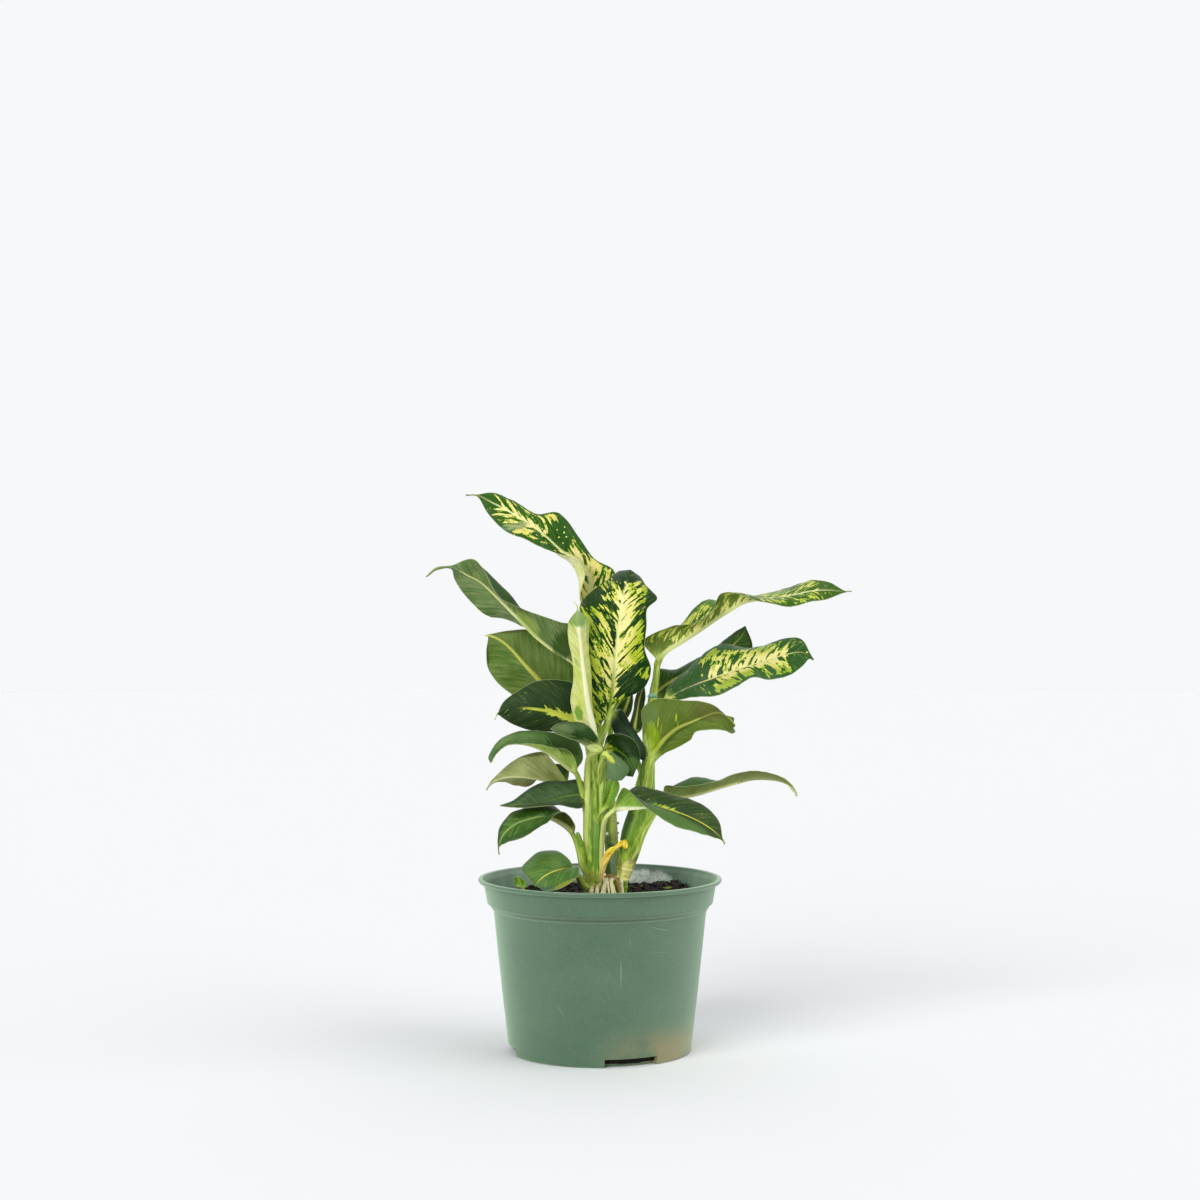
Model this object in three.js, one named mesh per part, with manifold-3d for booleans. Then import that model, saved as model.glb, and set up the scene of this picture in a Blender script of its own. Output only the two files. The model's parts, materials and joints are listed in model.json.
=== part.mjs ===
// Potted dieffenbachia: a green nursery pot of injection-moulded polypropylene, filled with peat,
// with three rooted stems and their broad, partly variegated leaves.
// Millimetres, +Z up. The origin is the middle of the flat underside of the pot. The front is -Y.
import * as THREE from "three";
import { mergeVertices } from "three/addons/utils/BufferGeometryUtils.js";
import Module from "manifold-3d";

// Pot
const RIM_HEIGHT = 116.2;
const RIM_RADIUS = 82.5;
const COLLAR_TOP_RADIUS = 78.7;
const COLLAR_BOTTOM = 99.8;
const WALL_TOP_RADIUS = 72.0;
const WALL_TOP = 95.2;
const FOOT_RADIUS = 61.6;
const FLOOR_THICKNESS = 1.6;
const POT_SEGMENTS = 48;

// Drain pockets round the foot
const DRAIN_TURNS = [20, 122, 200, 278];
const DRAIN_HALF_WIDTH = 17.2;
const DRAIN_HEIGHT = 5.5;
const DRAIN_BACK_RADIUS = 57.0;
const DRAIN_HOLE_HALF_WIDTH = 6.0;
const SHEET = 1.1;

// Soil
const SOIL_LEVEL = 102.0;
const SOIL_MOUND = 5.0;
const SOIL_RINGS = 5;
const SOIL_SEGMENTS = 32;

// Leaves
const GAP = 0.3;
const BLADE_HALF_THICKNESS = 0.4;
const MARGIN_HALF_THICKNESS = 0.28;
const TIP_RADIUS = 0.4;
const STEPS_PER_SPAN = 1.2;

// The plant is laid out as it is seen from the front: every point is given as its distance to the
// right of the pot's axis and its height, both as seen from the eye point at the pot's axis, and
// its depth behind the axis. The eye is this far in front and this high.
const EYE_DISTANCE = 1479;
const EYE_HEIGHT = 304;

// Stems: right, height, depth, radius from the base up.
const STEMS = {
  stem_left: [
    [-5.3, 96, 0, 5.6],
    [-5.3, 112, 0, 5.9],
    [-5.4, 135, 0, 6.0],
    [-5.2, 158, 0, 5.7],
    [-4.6, 178, 0, 4.8],
    [-3.2, 196, -1, 3.6],
    [-1.6, 206, -2, 2.4],
  ],
  stem_middle: [
    [8, 96, 13, 4.4],
    [8.2, 118, 13, 4.7],
    [7.8, 145, 13, 4.6],
    [7.0, 168, 12, 3.8],
    [6.4, 184, 11, 2.6],
  ],
  stem_right: [
    [14.2, 96, 2, 3.6],
    [15, 112, 2, 4.2],
    [17.2, 123, 2, 5.7],
    [20, 134, 2, 7.0],
    [24.3, 147, 2, 7.9],
    [28.4, 160, 2, 8.1],
    [30.4, 172, 1, 7.2],
    [31.6, 184, 0, 5.8],
    [33, 195, 0, 4.4],
    [34, 203, 0, 3.0],
  ],
};

// Roots from the stem bases into the soil: right, height, depth, radius.
const ROOTS = {
  root_a: [[-4, 113, -5, 1.5], [-6, 110, -9, 1.6], [-6.6, 104, -10.5, 1.5], [-6.8, 98, -10.5, 1.0]],
  root_b: [[-0.8, 113, -5, 1.3], [-1.6, 110, -9, 1.4], [-2, 104, -10.5, 1.4], [-2.2, 98, -10.5, 0.9]],
  root_c: [[2.2, 117, -1, 1.5], [3.6, 113, -6.5, 1.6], [1.8, 105, -10.5, 1.5], [1.0, 98, -11, 1.0]],
  root_d: [[13, 118, -1, 1.4], [7.5, 113, -5, 1.5], [9.5, 105, -8.5, 1.4], [10.4, 98, -9, 0.9]],
  root_e: [[15, 118, -2, 1.4], [15.4, 113.5, -6, 1.3], [15, 106, -8, 1.2], [16, 98, -9, 0.8]],
};

// Leaves from the base of the stalk to the tip. "stalk": right, height, depth, radius.
// "blade": rib point, left edge point, right edge point, bulge of the left and of the right half
// towards the leaf's upper face; left and right are as the upper face is looked at with the tip
// up. The first and the last row of a blade have the rib point only.
const LEAVES = [
  {
    "name": "leaf_01_top_left",
    "stalk": [[-1, 198, 2, 2.2], [-0.5, 215, 10, 2.1], [-2, 245, 20, 2.0], [-5, 275, 26, 1.9]],
    "blade": [
      [[-6, 289, 27]],
      [[-5.5, 305, 27], [-13.6, 303, 14], [13, 300, 22], -3, 1],
      [[-7, 321, 24], [-9.8, 321, 8], [10, 323, 23], -7, 2],
      [[-15, 331.5, 19], [-16, 330.6, 5], [-3, 331.5, 25], -5, 2],
      [[-26, 337.3, 14], [-28, 335.4, 2], [-14, 346, 22], -2, 2],
      [[-37, 347, 9], [-38, 339.2, -1], [-27.5, 362.6, 16], 0, 2],
      [[-48, 355.5, 5], [-50, 345, -2], [-43, 362.6, 13], 1, 1],
      [[-61, 363.5, 4], [-64, 350.5, -1], [-58, 371, 11], 2, 1],
      [[-73.5, 370, 7], [-75.5, 362, 3], [-71, 376.6, 12], 1, 1],
      [[-83, 374.8, 10], [-83, 374, 9.5], [-83, 375.4, 10.5], 0, 0],
      [[-91, 375, 12]],
    ],
  },
  {
    "name": "leaf_02_left_upper",
    "stalk": [[-4, 196, 4, 2.2], [-5, 214, 7, 2.1], [-6, 234, 6, 2.0]],
    "blade": [
      [[-8.5, 250, 3]],
      [[-19, 261.5, -4], [-13, 284, 0], [-21, 268, 10], 2, 2],
      [[-31, 269.5, -10], [-27, 289, -9], [-34, 277, 6], 3, 2],
      [[-44, 279.6, -17], [-43, 294.5, -17], [-46, 283, -2], 3, 2],
      [[-56, 292, -25], [-58, 299.8, -34], [-62, 290.4, -13], 5, 1],
      [[-68, 304, -32], [-69, 306.5, -44], [-76, 293.2, -21], 7, 1],
      [[-80, 315.5, -38], [-79.5, 325, -50], [-89, 304, -29], 4, 1],
      [[-90, 321, -43], [-87, 331.8, -48], [-98, 317, -39], 1, 1],
      [[-100, 326, -48], [-100, 327.6, -48.5], [-101, 324.9, -47.5], 0, 0],
      [[-110, 325.4, -52], [-110, 326.2, -52.3], [-110, 324.6, -51.7], 0, 0],
      [[-118, 320, -56]],
    ],
  },
  {
    "name": "leaf_03_left_middle",
    "stalk": [[-6, 188, 3, 2.2], [-8, 203, 10, 2.1], [-12, 216, 12, 2.0]],
    "blade": [
      [[-18, 226, 9]],
      [[-27, 235.5, 4], [-12, 246, 8], [-38, 229, 6], 2, 2],
      [[-38.5, 247, -3], [-20, 262, 2], [-54, 236.5, -1], 3, 3],
      [[-50, 259.3, -10], [-33, 275, -2], [-67, 245.5, -7], 3, 3],
      [[-60, 270.5, -16], [-47, 283.5, -8], [-75.5, 257, -13], 2, 2],
      [[-68, 277, -21], [-62, 283.2, -15], [-77, 269, -18], 1, 1],
      [[-75, 279.8, -25], [-74.2, 281, -24.5], [-75.8, 278.6, -25], 0, 0],
      [[-78, 279.6, -26]],
    ],
  },
  {
    "name": "leaf_04_left_dark",
    "stalk": [[-5, 180, -2, 2.1], [-5.5, 196, -8, 2.0], [-6, 208, -10, 1.9]],
    "blade": [
      [[-9, 217, -11]],
      [[-20, 224, -17], [-22, 214, -12], [-15, 244, -12], 2, 2],
      [[-32, 228, -21], [-36, 215, -14], [-27, 249.8, -16], 2, 3],
      [[-44, 230.2, -25], [-48, 216, -17], [-43, 249, -21], 2, 3],
      [[-56, 231, -28], [-59, 220, -24], [-57, 241.5, -25], 1, 2],
      [[-64, 229.5, -31], [-65.5, 223.8, -29.5], [-65.4, 235, -29.5], 0, 0],
      [[-69.3, 227, -33], [-69.8, 226.4, -33], [-69, 227.8, -33], 0, 0],
      [[-71, 223, -34]],
    ],
  },
  {
    "name": "leaf_05_left_arching",
    "stalk": [[-6, 166, -3, 2.0], [-10, 176, -8, 1.9], [-13, 182.5, -12, 1.8]],
    "blade": [
      [[-16.2, 186.8, -16]],
      [[-21, 190, -20], [-16.3, 195, -34], [-11.5, 197, -8], 3, 3],
      [[-29, 196, -26], [-22, 202.3, -42], [-18, 211.5, -12], 3, 3],
      [[-38, 202, -32], [-34, 204.6, -48], [-32, 214, -22], 2, 3],
      [[-49, 206, -38], [-47, 206.8, -52], [-46, 215.4, -28], 2, 2],
      [[-60, 206.6, -44], [-61, 205.6, -54], [-57, 214.6, -35], 1, 2],
      [[-68, 203.4, -50], [-68.5, 201.6, -55], [-68, 209.6, -45], 0, 1],
      [[-73.6, 196, -56], [-72.6, 195.4, -56], [-75.4, 198.6, -55], 0, 0],
      [[-74.2, 193.8, -57]],
    ],
  },
  {
    "name": "leaf_06_left_brown",
    "stalk": [[-6, 164, 3, 2.0], [-11, 171, 10, 1.9], [-16, 175.5, 14, 1.8]],
    "blade": [
      [[-21, 178, 14]],
      [[-28, 180.6, 8], [-32, 195, -3], [-27, 190, 20], 3, 3],
      [[-36, 181.6, 1], [-39, 201, -6], [-36, 187, 16], 3, 3],
      [[-46, 183.2, -5], [-51, 198.9, -10], [-46, 178.4, 7], 2, 2],
      [[-56, 184.2, -10], [-61, 193.5, -14], [-57, 178.3, -2], 2, 1],
      [[-66, 183.4, -15], [-68.2, 187, -17], [-66, 180.7, -11], 0, 0],
      [[-73, 180.4, -18], [-73.7, 181.8, -18.5], [-72.6, 179.4, -17.6], 0, 0],
      [[-77.2, 175.3, -20]],
    ],
  },
  {
    "name": "leaf_07_left_low",
    "stalk": [[-6, 164, -3, 2.0], [-9.5, 171, -6.5, 1.9]],
    "blade": [
      [[-12.5, 173, -8]],
      [[-18, 172, -11], [-15, 163.4, -16], [-15, 182, -5], 1, 1],
      [[-27, 169.8, -15], [-26, 164.3, -25], [-25, 181.3, -7], 1, 2],
      [[-37, 166.8, -20], [-38, 164.6, -28], [-37, 180.9, -11], 1, 2],
      [[-48, 165.6, -24], [-49, 163.5, -30], [-47.5, 176.6, -17], 1, 2],
      [[-58, 165.2, -29], [-58, 163.5, -31], [-58, 169, -26], 0, 1],
      [[-67.5, 164.8, -33]],
    ],
  },
  {
    "name": "leaf_08_left_drooping",
    "stalk": [[-6.5, 116, -1, 2.2], [-12, 124, -7, 2.0], [-14.4, 134, -8, 1.8], [-16.5, 141, -8, 1.7]],
    "blade": [
      [[-18.4, 145.3, -9]],
      [[-21.5, 149, -11], [-17, 151, -20], [-20, 152, 2], 3, 3],
      [[-27, 152.8, -16], [-22, 158.6, -27], [-27, 160, 0], 3, 3],
      [[-33, 155.8, -21], [-28, 160.4, -33], [-33, 164.8, -6], 2, 3],
      [[-40, 156.7, -26], [-36, 152.8, -38], [-41, 165.2, -12], 1, 3],
      [[-48.5, 155, -31], [-45, 147, -42], [-50.5, 162.8, -20], 1, 2],
      [[-57, 152, -36], [-54, 142.4, -44], [-60.5, 159, -28], 1, 2],
      [[-65, 145.5, -41], [-63, 139.8, -44], [-68.2, 149, -37], 0, 1],
      [[-68.6, 137, -43.5], [-67.9, 137, -43.5], [-69.2, 137.6, -43], 0, 0],
      [[-68.5, 131.5, -44.5]],
    ],
  },
  {
    "name": "leaf_09_resting",
    "stalk": [[-6, 108, -3, 2.4], [-11.5, 111, -10, 2.4], [-14.5, 116, -17, 2.0]],
    "blade": [
      [[-17, 119.8, -22]],
      [[-21, 121.6, -27], [-14, 122.6, -37], [-22.6, 130, -21], 1, 2],
      [[-26, 121.2, -33], [-15.5, 116, -45], [-31, 134.2, -19], 2, 3],
      [[-32, 119.6, -38], [-24, 110.2, -49], [-43, 132.2, -23], 2, 3],
      [[-38, 116.5, -43], [-32, 107.4, -52], [-53, 122.6, -32], 1, 2],
      [[-42, 112.8, -47], [-38, 107.4, -52], [-49.5, 117, -42], 0, 0],
      [[-44, 110.6, -49.5]],
    ],
  },
  {
    "name": "leaf_10_centre",
    "stalk": [[-1.5, 198, -2, 2.4], [0, 207, -6, 2.4], [3.4, 217, -8, 2.3]],
    "blade": [
      [[5, 224, -10]],
      [[6.6, 234, -12], [-4.6, 217, -18], [16, 236.4, -12], 1, 1],
      [[8.5, 246, -14], [-10, 241, -20], [29.5, 244, -15], 2, 2],
      [[10, 259, -16], [-14.5, 258, -21], [34.6, 257, -17], 3, 2],
      [[11.5, 273, -17], [-14, 275, -21], [30.4, 270.5, -20], 3, 2],
      [[13, 287, -17], [-11, 290, -18], [31.6, 286, -19], 3, 2],
      [[14.5, 299, -15], [-13.8, 299, -12], [32, 297.5, -17], 2, 2],
      [[16.5, 310, -11], [-8, 308.4, -3], [38.8, 305, -12], 1, 1],
      [[19, 319, -4], [4, 316.6, 5], [31, 313.6, -3], 1, 1],
      [[20.6, 324.4, 4], [13, 323.6, 10], [27, 320, 5], 0, 0],
      [[21, 321, 12]],
    ],
  },
  {
    "name": "leaf_11_pale",
    "stalk": [[-3, 188, -3, 2.3], [-4, 198, -16, 2.3]],
    "blade": [
      [[-3.4, 208, -26]],
      [[-5, 219, -31], [-2.4, 216, -24], [-16.5, 222, -25], 1, 1],
      [[-7.8, 232, -34], [-4.9, 231, -24], [-19.6, 234, -25], 1, 1],
      [[-9.8, 246, -36], [-5.8, 247, -27], [-18.2, 250, -27], 1, 1],
      [[-11.8, 262, -37], [-7.1, 262, -28], [-18.2, 261, -28], 1, 1],
      [[-13.4, 277, -37], [-7.7, 278, -28], [-21.4, 276, -28], 1, 1],
      [[-14.6, 288, -36], [-8, 290.6, -30], [-22, 288.4, -30], 0, 0],
      [[-15, 297, -34], [-14.3, 297.4, -34], [-15.7, 297, -34], 0, 0],
      [[-17.5, 303, -32]],
    ],
  },
  {
    "name": "leaf_12_dark_lobe",
    "stalk": [[-6, 174, -3, 2.2], [-8.4, 186, -9, 2.2], [-8, 195, -15, 2.2], [-5, 200, -20, 2.1]],
    "blade": [
      [[0, 202.4, -26]],
      [[-5, 207, -33], [-3.4, 205, -40], [-3, 213, -27], 0, 2],
      [[-13, 211, -41], [-12.8, 209, -48], [-10, 220, -32], 0, 3],
      [[-22, 213.2, -46], [-23, 210.8, -53], [-20, 221.3, -38], 0, 3],
      [[-29, 215.4, -50], [-30, 213, -54], [-29, 220.4, -45], 0, 1],
      [[-33.2, 217, -52]],
    ],
  },
  {
    "name": "leaf_13_round_dark",
    "stalk": [[6.5, 176, 9, 2.0], [3.5, 188, 2, 2.0], [1.8, 198, -6, 1.9]],
    "blade": [
      [[3, 202.6, -11]],
      [[7.6, 203.4, -16], [5.5, 212, -10], [8, 196, -17], 1, 1],
      [[13, 201.6, -20], [15, 213.3, -15], [11, 191, -22], 2, 2],
      [[18, 197.4, -24], [24, 208, -20], [14, 187, -25], 2, 2],
      [[21.6, 191.4, -27], [27.3, 197, -24], [17.4, 185, -27], 1, 1],
      [[22.4, 184.4, -29]],
    ],
  },
  {
    "name": "leaf_14_blue_green",
    "stalk": [[7, 178, 12, 2.0], [6.6, 196, 18, 2.0], [7, 214, 22, 1.9]],
    "blade": [
      [[9, 226, 20]],
      [[12.4, 223.6, 15], [15, 229.8, 17], [8, 218, 12], 1, 1],
      [[17, 217.4, 9], [20, 221.4, 11], [11.5, 210, 4], 2, 1],
      [[22.5, 210.6, 3], [26, 211.8, 6], [17, 203, -2], 2, 1],
      [[27, 203.8, -3], [31, 204.6, 0], [22.6, 197, -7], 1, 1],
      [[29.6, 198, -8], [31.4, 199.6, -7], [27.6, 196, -9], 0, 0],
      [[30.4, 194.6, -11]],
    ],
  },
  {
    "name": "leaf_15_right_top",
    "stalk": [[32.6, 190, 2, 2.6], [34, 212, 2, 2.5], [36.2, 236, 0, 2.4], [38.4, 256, -2, 2.3]],
    "blade": [
      [[41.2, 265, -3]],
      [[47.5, 271, -5], [38, 271, 9], [35, 280.5, -12], 1, 1],
      [[57, 277, -7], [52, 284, 10], [50, 284.8, -17], 1, 2],
      [[68, 284.2, -9], [63.5, 298, 9], [63.6, 288.6, -21], 1, 2],
      [[79, 291.6, -11], [73, 304.4, 9], [75.6, 295.4, -25], 1, 3],
      [[88.5, 297.4, -13], [84, 303, 9], [81.4, 307.6, -23], 1, 3],
      [[98, 302.6, -15], [98, 306.2, 7], [92, 308.6, -29], 1, 3],
      [[108, 304.4, -17], [108, 308, 2], [106, 303.8, -33], 1, 2],
      [[120, 305.6, -19], [119, 309.8, 0], [120, 301, -31], 1, 1],
      [[132, 307.5, -19], [133, 313.7, -3], [131, 299.5, -29], 1, 1],
      [[144, 310, -17], [145, 317, -6], [142, 302.8, -25], 1, 1],
      [[155, 310.6, -15], [155, 316, -9], [153, 304.6, -20], 0, 0],
      [[166, 309.6, -12], [166, 310.2, -12], [166, 309, -12.4], 0, 0],
      [[170.5, 310, -11]],
    ],
  },
  {
    "name": "leaf_16_right_middle",
    "stalk": [[32, 186, 2, 2.6], [34.4, 205, 6, 2.4], [38, 222, 5, 2.3]],
    "blade": [
      [[43, 233, 1]],
      [[53, 241, -4], [47, 246, 6], [54, 236.6, -12], 1, 2],
      [[65, 246.4, -9], [59.5, 257, 6], [67, 238.6, -20], 2, 3],
      [[78, 251.4, -12], [72, 269.2, 4], [80, 239.8, -23], 3, 3],
      [[90, 255.8, -14], [85, 274.2, 4], [93, 245, -25], 3, 2],
      [[102, 259.6, -16], [99, 271.6, 1], [104, 251.6, -26], 3, 2],
      [[114, 263.4, -18], [112, 273.6, -3], [115, 250, -28], 2, 2],
      [[126, 267, -19], [125, 277.8, -8], [128, 252.8, -27], 1, 1],
      [[136, 268.6, -20], [136.5, 277.6, -14], [137, 259, -24], 0, 0],
      [[142, 265.8, -21], [142.6, 267.6, -20.6], [141.4, 263.8, -21.4], 0, 0],
      [[144.8, 263.3, -21]],
    ],
  },
  {
    "name": "leaf_17_behind",
    "stalk": [[32.6, 188, 5, 2.4], [31, 206, 14, 2.2], [31, 222, 20, 2.1]],
    "blade": [
      [[34, 235, 22]],
      [[43, 245, 25], [38, 256, 30], [48, 236, 18], 2, 2],
      [[55, 252, 28], [52, 256.6, 36], [62, 241, 18], 2, 2],
      [[68, 258, 31], [66, 264, 40], [76, 247, 20], 2, 2],
      [[80, 265, 33], [79, 272, 42], [89, 255, 22], 2, 2],
      [[91, 274, 35], [89, 280.6, 40], [100, 265, 27], 1, 1],
      [[97, 281, 36], [95, 284.6, 38], [103.4, 273.4, 32], 0, 0],
      [[98.6, 286.4, 37]],
    ],
  },
  {
    "name": "leaf_18_right_curled",
    "stalk": [[31, 170, -3, 3.0], [32.4, 180, -10, 3.1], [33.6, 189, -17, 2.8]],
    "blade": [
      [[35.4, 196, -23]],
      [[39.6, 203.4, -27], [43, 199.8, -31], [31, 214, -20], 1, 2],
      [[45, 210.8, -30], [52, 203.8, -36], [28.4, 228.6, -20], 2, 4],
      [[52.5, 217, -33], [61, 208.8, -39], [38, 237.2, -22], 2, 4],
      [[62, 221, -35], [65, 215, -40], [56, 236, -24], 1, 3],
      [[71, 225, -36], [76, 216.3, -40], [69, 235.4, -27], 1, 2],
      [[79, 227.4, -37], [85, 215.4, -40], [79, 231.8, -31], 1, 1],
      [[86, 225, -35], [89.4, 213.6, -38], [85.6, 226.6, -30], 2, 1],
      [[91, 219.4, -30], [91, 214.6, -31], [90.4, 224, -25], 1, 1],
      [[89.6, 218.4, -22]],
    ],
  },
  {
    "name": "leaf_19_right_low",
    "stalk": [[28, 160, 4, 2.4], [33, 165.6, 12, 2.2], [38, 169, 17, 2.0]],
    "blade": [
      [[43, 170.4, 18]],
      [[49, 170.8, 17], [46, 176, 26], [44.4, 178.2, 9], 1, 1],
      [[58, 171.3, 14], [61, 183.2, 25], [56, 178.2, 3], 2, 2],
      [[68, 173.2, 11], [69, 184, 23], [68, 178.9, -1], 2, 2],
      [[79, 176.4, 8], [79, 182, 20], [80, 181.6, -3], 1, 2],
      [[91, 179.7, 5], [90, 184, 15], [91, 185.8, -4], 1, 2],
      [[103, 182.6, 2], [102, 186, 12], [103, 188.5, -5], 1, 2],
      [[115, 182.6, -1], [114, 185, 7], [115, 186.8, -6], 1, 1],
      [[125, 180.4, -3], [125, 181.4, 2], [126, 182.6, -6], 0, 0],
      [[131.4, 175.4, -5], [131, 175.2, -4], [132.2, 176, -6], 0, 0],
      [[133.6, 171, -6]],
    ],
  },
  {
    "name": "leaf_20_front_right",
    "stalk": [[-4, 118, -3, 2.0], [-0.8, 128, -13, 1.8], [0, 143, -24, 1.7], [3, 154, -30, 1.6]],
    "blade": [
      [[9, 161, -35]],
      [[15.5, 162.8, -38], [15, 170, -26], [12.6, 172, -47], 2, 3],
      [[24, 163.3, -42], [25, 177.6, -30], [17, 177, -54], 3, 3],
      [[33, 163.8, -45], [37, 175.5, -34], [27, 167, -60], 3, 2],
      [[43, 162.7, -47], [49, 172, -38], [38, 158.2, -62], 2, 2],
      [[54, 159.4, -49], [61, 169, -42], [50, 151, -62], 2, 2],
      [[65, 154.8, -51], [73, 163, -46], [63, 147.6, -60], 2, 1],
      [[75, 149, -53], [80.6, 154, -50], [74, 144.2, -57], 1, 0],
      [[82.4, 142.4, -54], [83, 143, -54], [82, 141.4, -54], 0, 0],
      [[84.6, 138.4, -54.5]],
    ],
  },
  {
    "name": "leaf_21_small_green",
    "stalk": [[-4, 148, -3, 1.8], [-1, 155, -12, 1.6]],
    "blade": [
      [[1.2, 161, -17]],
      [[4, 167, -19], [1.6, 166.6, -21], [8.4, 166, -22], 0, 0],
      [[6.6, 173, -21], [2.8, 173.4, -23], [12.4, 173.4, -24], 0, 0],
      [[8.6, 179, -22], [4.6, 180, -23], [13, 179.4, -23], 0, 0],
      [[9.6, 184.4, -22]],
    ],
  },
  {
    "name": "leaf_22_new_shoot",
    "stalk": [[-50, 93, -34, 1.2], [-50.6, 102, -35, 1.2]],
    "blade": [
      [[-52, 109, -36]],
      [[-53.6, 112, -37], [-49.6, 110, -38], [-58, 111, -36], 1, 1],
      [[-55, 115, -38], [-51, 113.4, -39], [-58, 114.6, -37], 1, 1],
      [[-56.6, 117, -39]],
    ],
  },
  {
    "name": "leaf_23_middle_back",
    "stalk": [[7.4, 168, 15, 1.8], [10, 186, 26, 1.7], [12, 206, 30, 1.6]],
    "blade": [
      [[13.6, 220, 29]],
      [[16, 228, 28], [11, 228, 28], [20, 226, 30], 1, 1],
      [[19, 236, 27], [12, 238, 27], [22, 234, 30], 1, 1],
      [[21, 245, 28]],
    ],
  },
  {
    "name": "leaf_24_hanging",
    "stalk": [[31, 178, 6, 2.0], [25, 196, 12, 1.9], [23, 208, 13, 1.8]],
    "blade": [
      [[23.4, 213.4, 12]],
      [[24, 219, 10], [20, 221, 14], [28.6, 217, 8], 1, 1],
      [[25.6, 228, 9], [22.6, 229, 17], [30, 228, 5], 1, 1],
      [[27, 237, 9], [24.6, 240, 16], [31, 237, 6], 1, 1],
      [[30, 246, 10]],
    ],
  },
  {
    "name": "leaf_25_hanging_lobe",
    "stalk": [[-4.4, 170, -3, 2.0], [-0.6, 182, -10, 2.0], [0.6, 192, -20, 1.9]],
    "blade": [
      [[3, 199.6, -29]],
      [[6, 197.8, -33], [8.6, 200.6, -30], [3.8, 194, -33], 1, 1],
      [[10, 193, -37], [15, 196, -34], [4, 186.4, -35], 2, 2],
      [[13, 187.6, -39], [19.6, 189, -36], [7, 181.6, -37], 1, 1],
      [[15, 182, -39]],
    ],
  },
];

// The withered sheath at the foot of the middle stem: right, height, depth, half width, half
// thickness.
const SHEATH = [
  [0.6, 112, -14, 1.0, 0.8],
  [1.6, 119, -15, 2.4, 0.7],
  [4.2, 129, -15, 2.7, 0.7],
  [8.2, 134.6, -15, 1.6, 0.8],
  [12, 137, -15, 1.4, 1.0],
  [15.4, 139.6, -15, 2.2, 1.6],
  [17.2, 137.4, -16, 1.8, 1.3],
  [17.6, 135.6, -16.6, 0.8, 0.7],
];

const wasm = await Module();
wasm.setup();

function seen(right, height, depth) {
  const scale = 1 + depth / EYE_DISTANCE;
  return new THREE.Vector3(right * scale, depth, EYE_HEIGHT + (height - EYE_HEIGHT) * scale);
}

function solidOf(geometry) {
  const bare = geometry.clone();
  bare.deleteAttribute("normal");
  bare.deleteAttribute("uv");
  const merged = mergeVertices(bare, 1e-4);
  return new wasm.Manifold(
    new wasm.Mesh({
      numProp: 3,
      vertProperties: new Float32Array(merged.attributes.position.array),
      triVerts: new Uint32Array(merged.index.array),
    })
  );
}

function geometryOf(solid) {
  const bodies = solid.decompose();
  bodies.sort((a, b) => b.volume() - a.volume());
  const mesh = bodies[0].getMesh();
  const geometry = new THREE.BufferGeometry();
  geometry.setAttribute("position", new THREE.BufferAttribute(new Float32Array(mesh.vertProperties), 3));
  geometry.setIndex(new THREE.BufferAttribute(new Uint32Array(mesh.triVerts), 1));
  geometry.computeVertexNormals();
  return geometry;
}

// A closed skin over rings of points, with a cap on both ends. The second half of each ring lies
// under the first, and its squares are halved along the same diagonals, so thin blades stay even.
function skin(rings) {
  const size = rings[0].length;
  const points = rings.flat();
  const index = [];
  for (let k = 0; k < rings.length - 1; k += 1) {
    for (let i = 0; i < size; i += 1) {
      const a = k * size + i;
      const b = k * size + ((i + 1) % size);
      if (2 * i < size) {
        index.push(a, b, b + size, a, b + size, a + size);
      } else {
        index.push(a, b, a + size, b, b + size, a + size);
      }
    }
  }
  const last = (rings.length - 1) * size;
  for (let i = 1; i < size - 1; i += 1) {
    index.push(0, i + 1, i);
    index.push(last, last + i, last + i + 1);
  }
  const geometry = new THREE.BufferGeometry().setFromPoints(points);
  geometry.setIndex(index);
  return geometry;
}

function facesOut(geometry) {
  const solid = solidOf(geometry);
  if (solid.volume() > 0) {
    return geometry;
  }
  const flipped = geometry.clone();
  const index = flipped.index.array;
  for (let k = 0; k < index.length; k += 3) {
    [index[k], index[k + 1]] = [index[k + 1], index[k]];
  }
  return flipped;
}

function curveThrough(points) {
  return new THREE.CatmullRomCurve3(points, false, "catmullrom", 0.5);
}

// A stem or a root: rounds of radius r along a curve, grown by "extra" to cut its neighbours.
function limb(rows, extra, sides, stepsPerSpan) {
  const path = curveThrough(rows.map((row) => seen(row[0], row[1], row[2])));
  const sizes = curveThrough(rows.map((row) => new THREE.Vector3(row[3], row[4] ?? row[3], 0)));
  const steps = Math.round((rows.length - 1) * stepsPerSpan);
  const rings = [];
  for (let k = 0; k <= steps; k += 1) {
    const centre = path.getPoint(k / steps);
    const size = sizes.getPoint(k / steps);
    const along = path.getTangent(k / steps);
    const across = new THREE.Vector3(1, 0, 0).addScaledVector(along, -along.x).normalize();
    const out = new THREE.Vector3().crossVectors(along, across);
    if (k === 0) {
      centre.addScaledVector(along, -extra);
    }
    if (k === steps) {
      centre.addScaledVector(along, extra);
    }
    const ring = [];
    for (let i = 0; i < sides; i += 1) {
      const turn = (2 * Math.PI * i) / sides;
      ring.push(
        centre
          .clone()
          .addScaledVector(across, Math.cos(turn) * (size.x + extra))
          .addScaledVector(out, Math.sin(turn) * (size.y + extra))
      );
    }
    rings.push(ring);
  }
  return facesOut(skin(rings));
}

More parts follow.
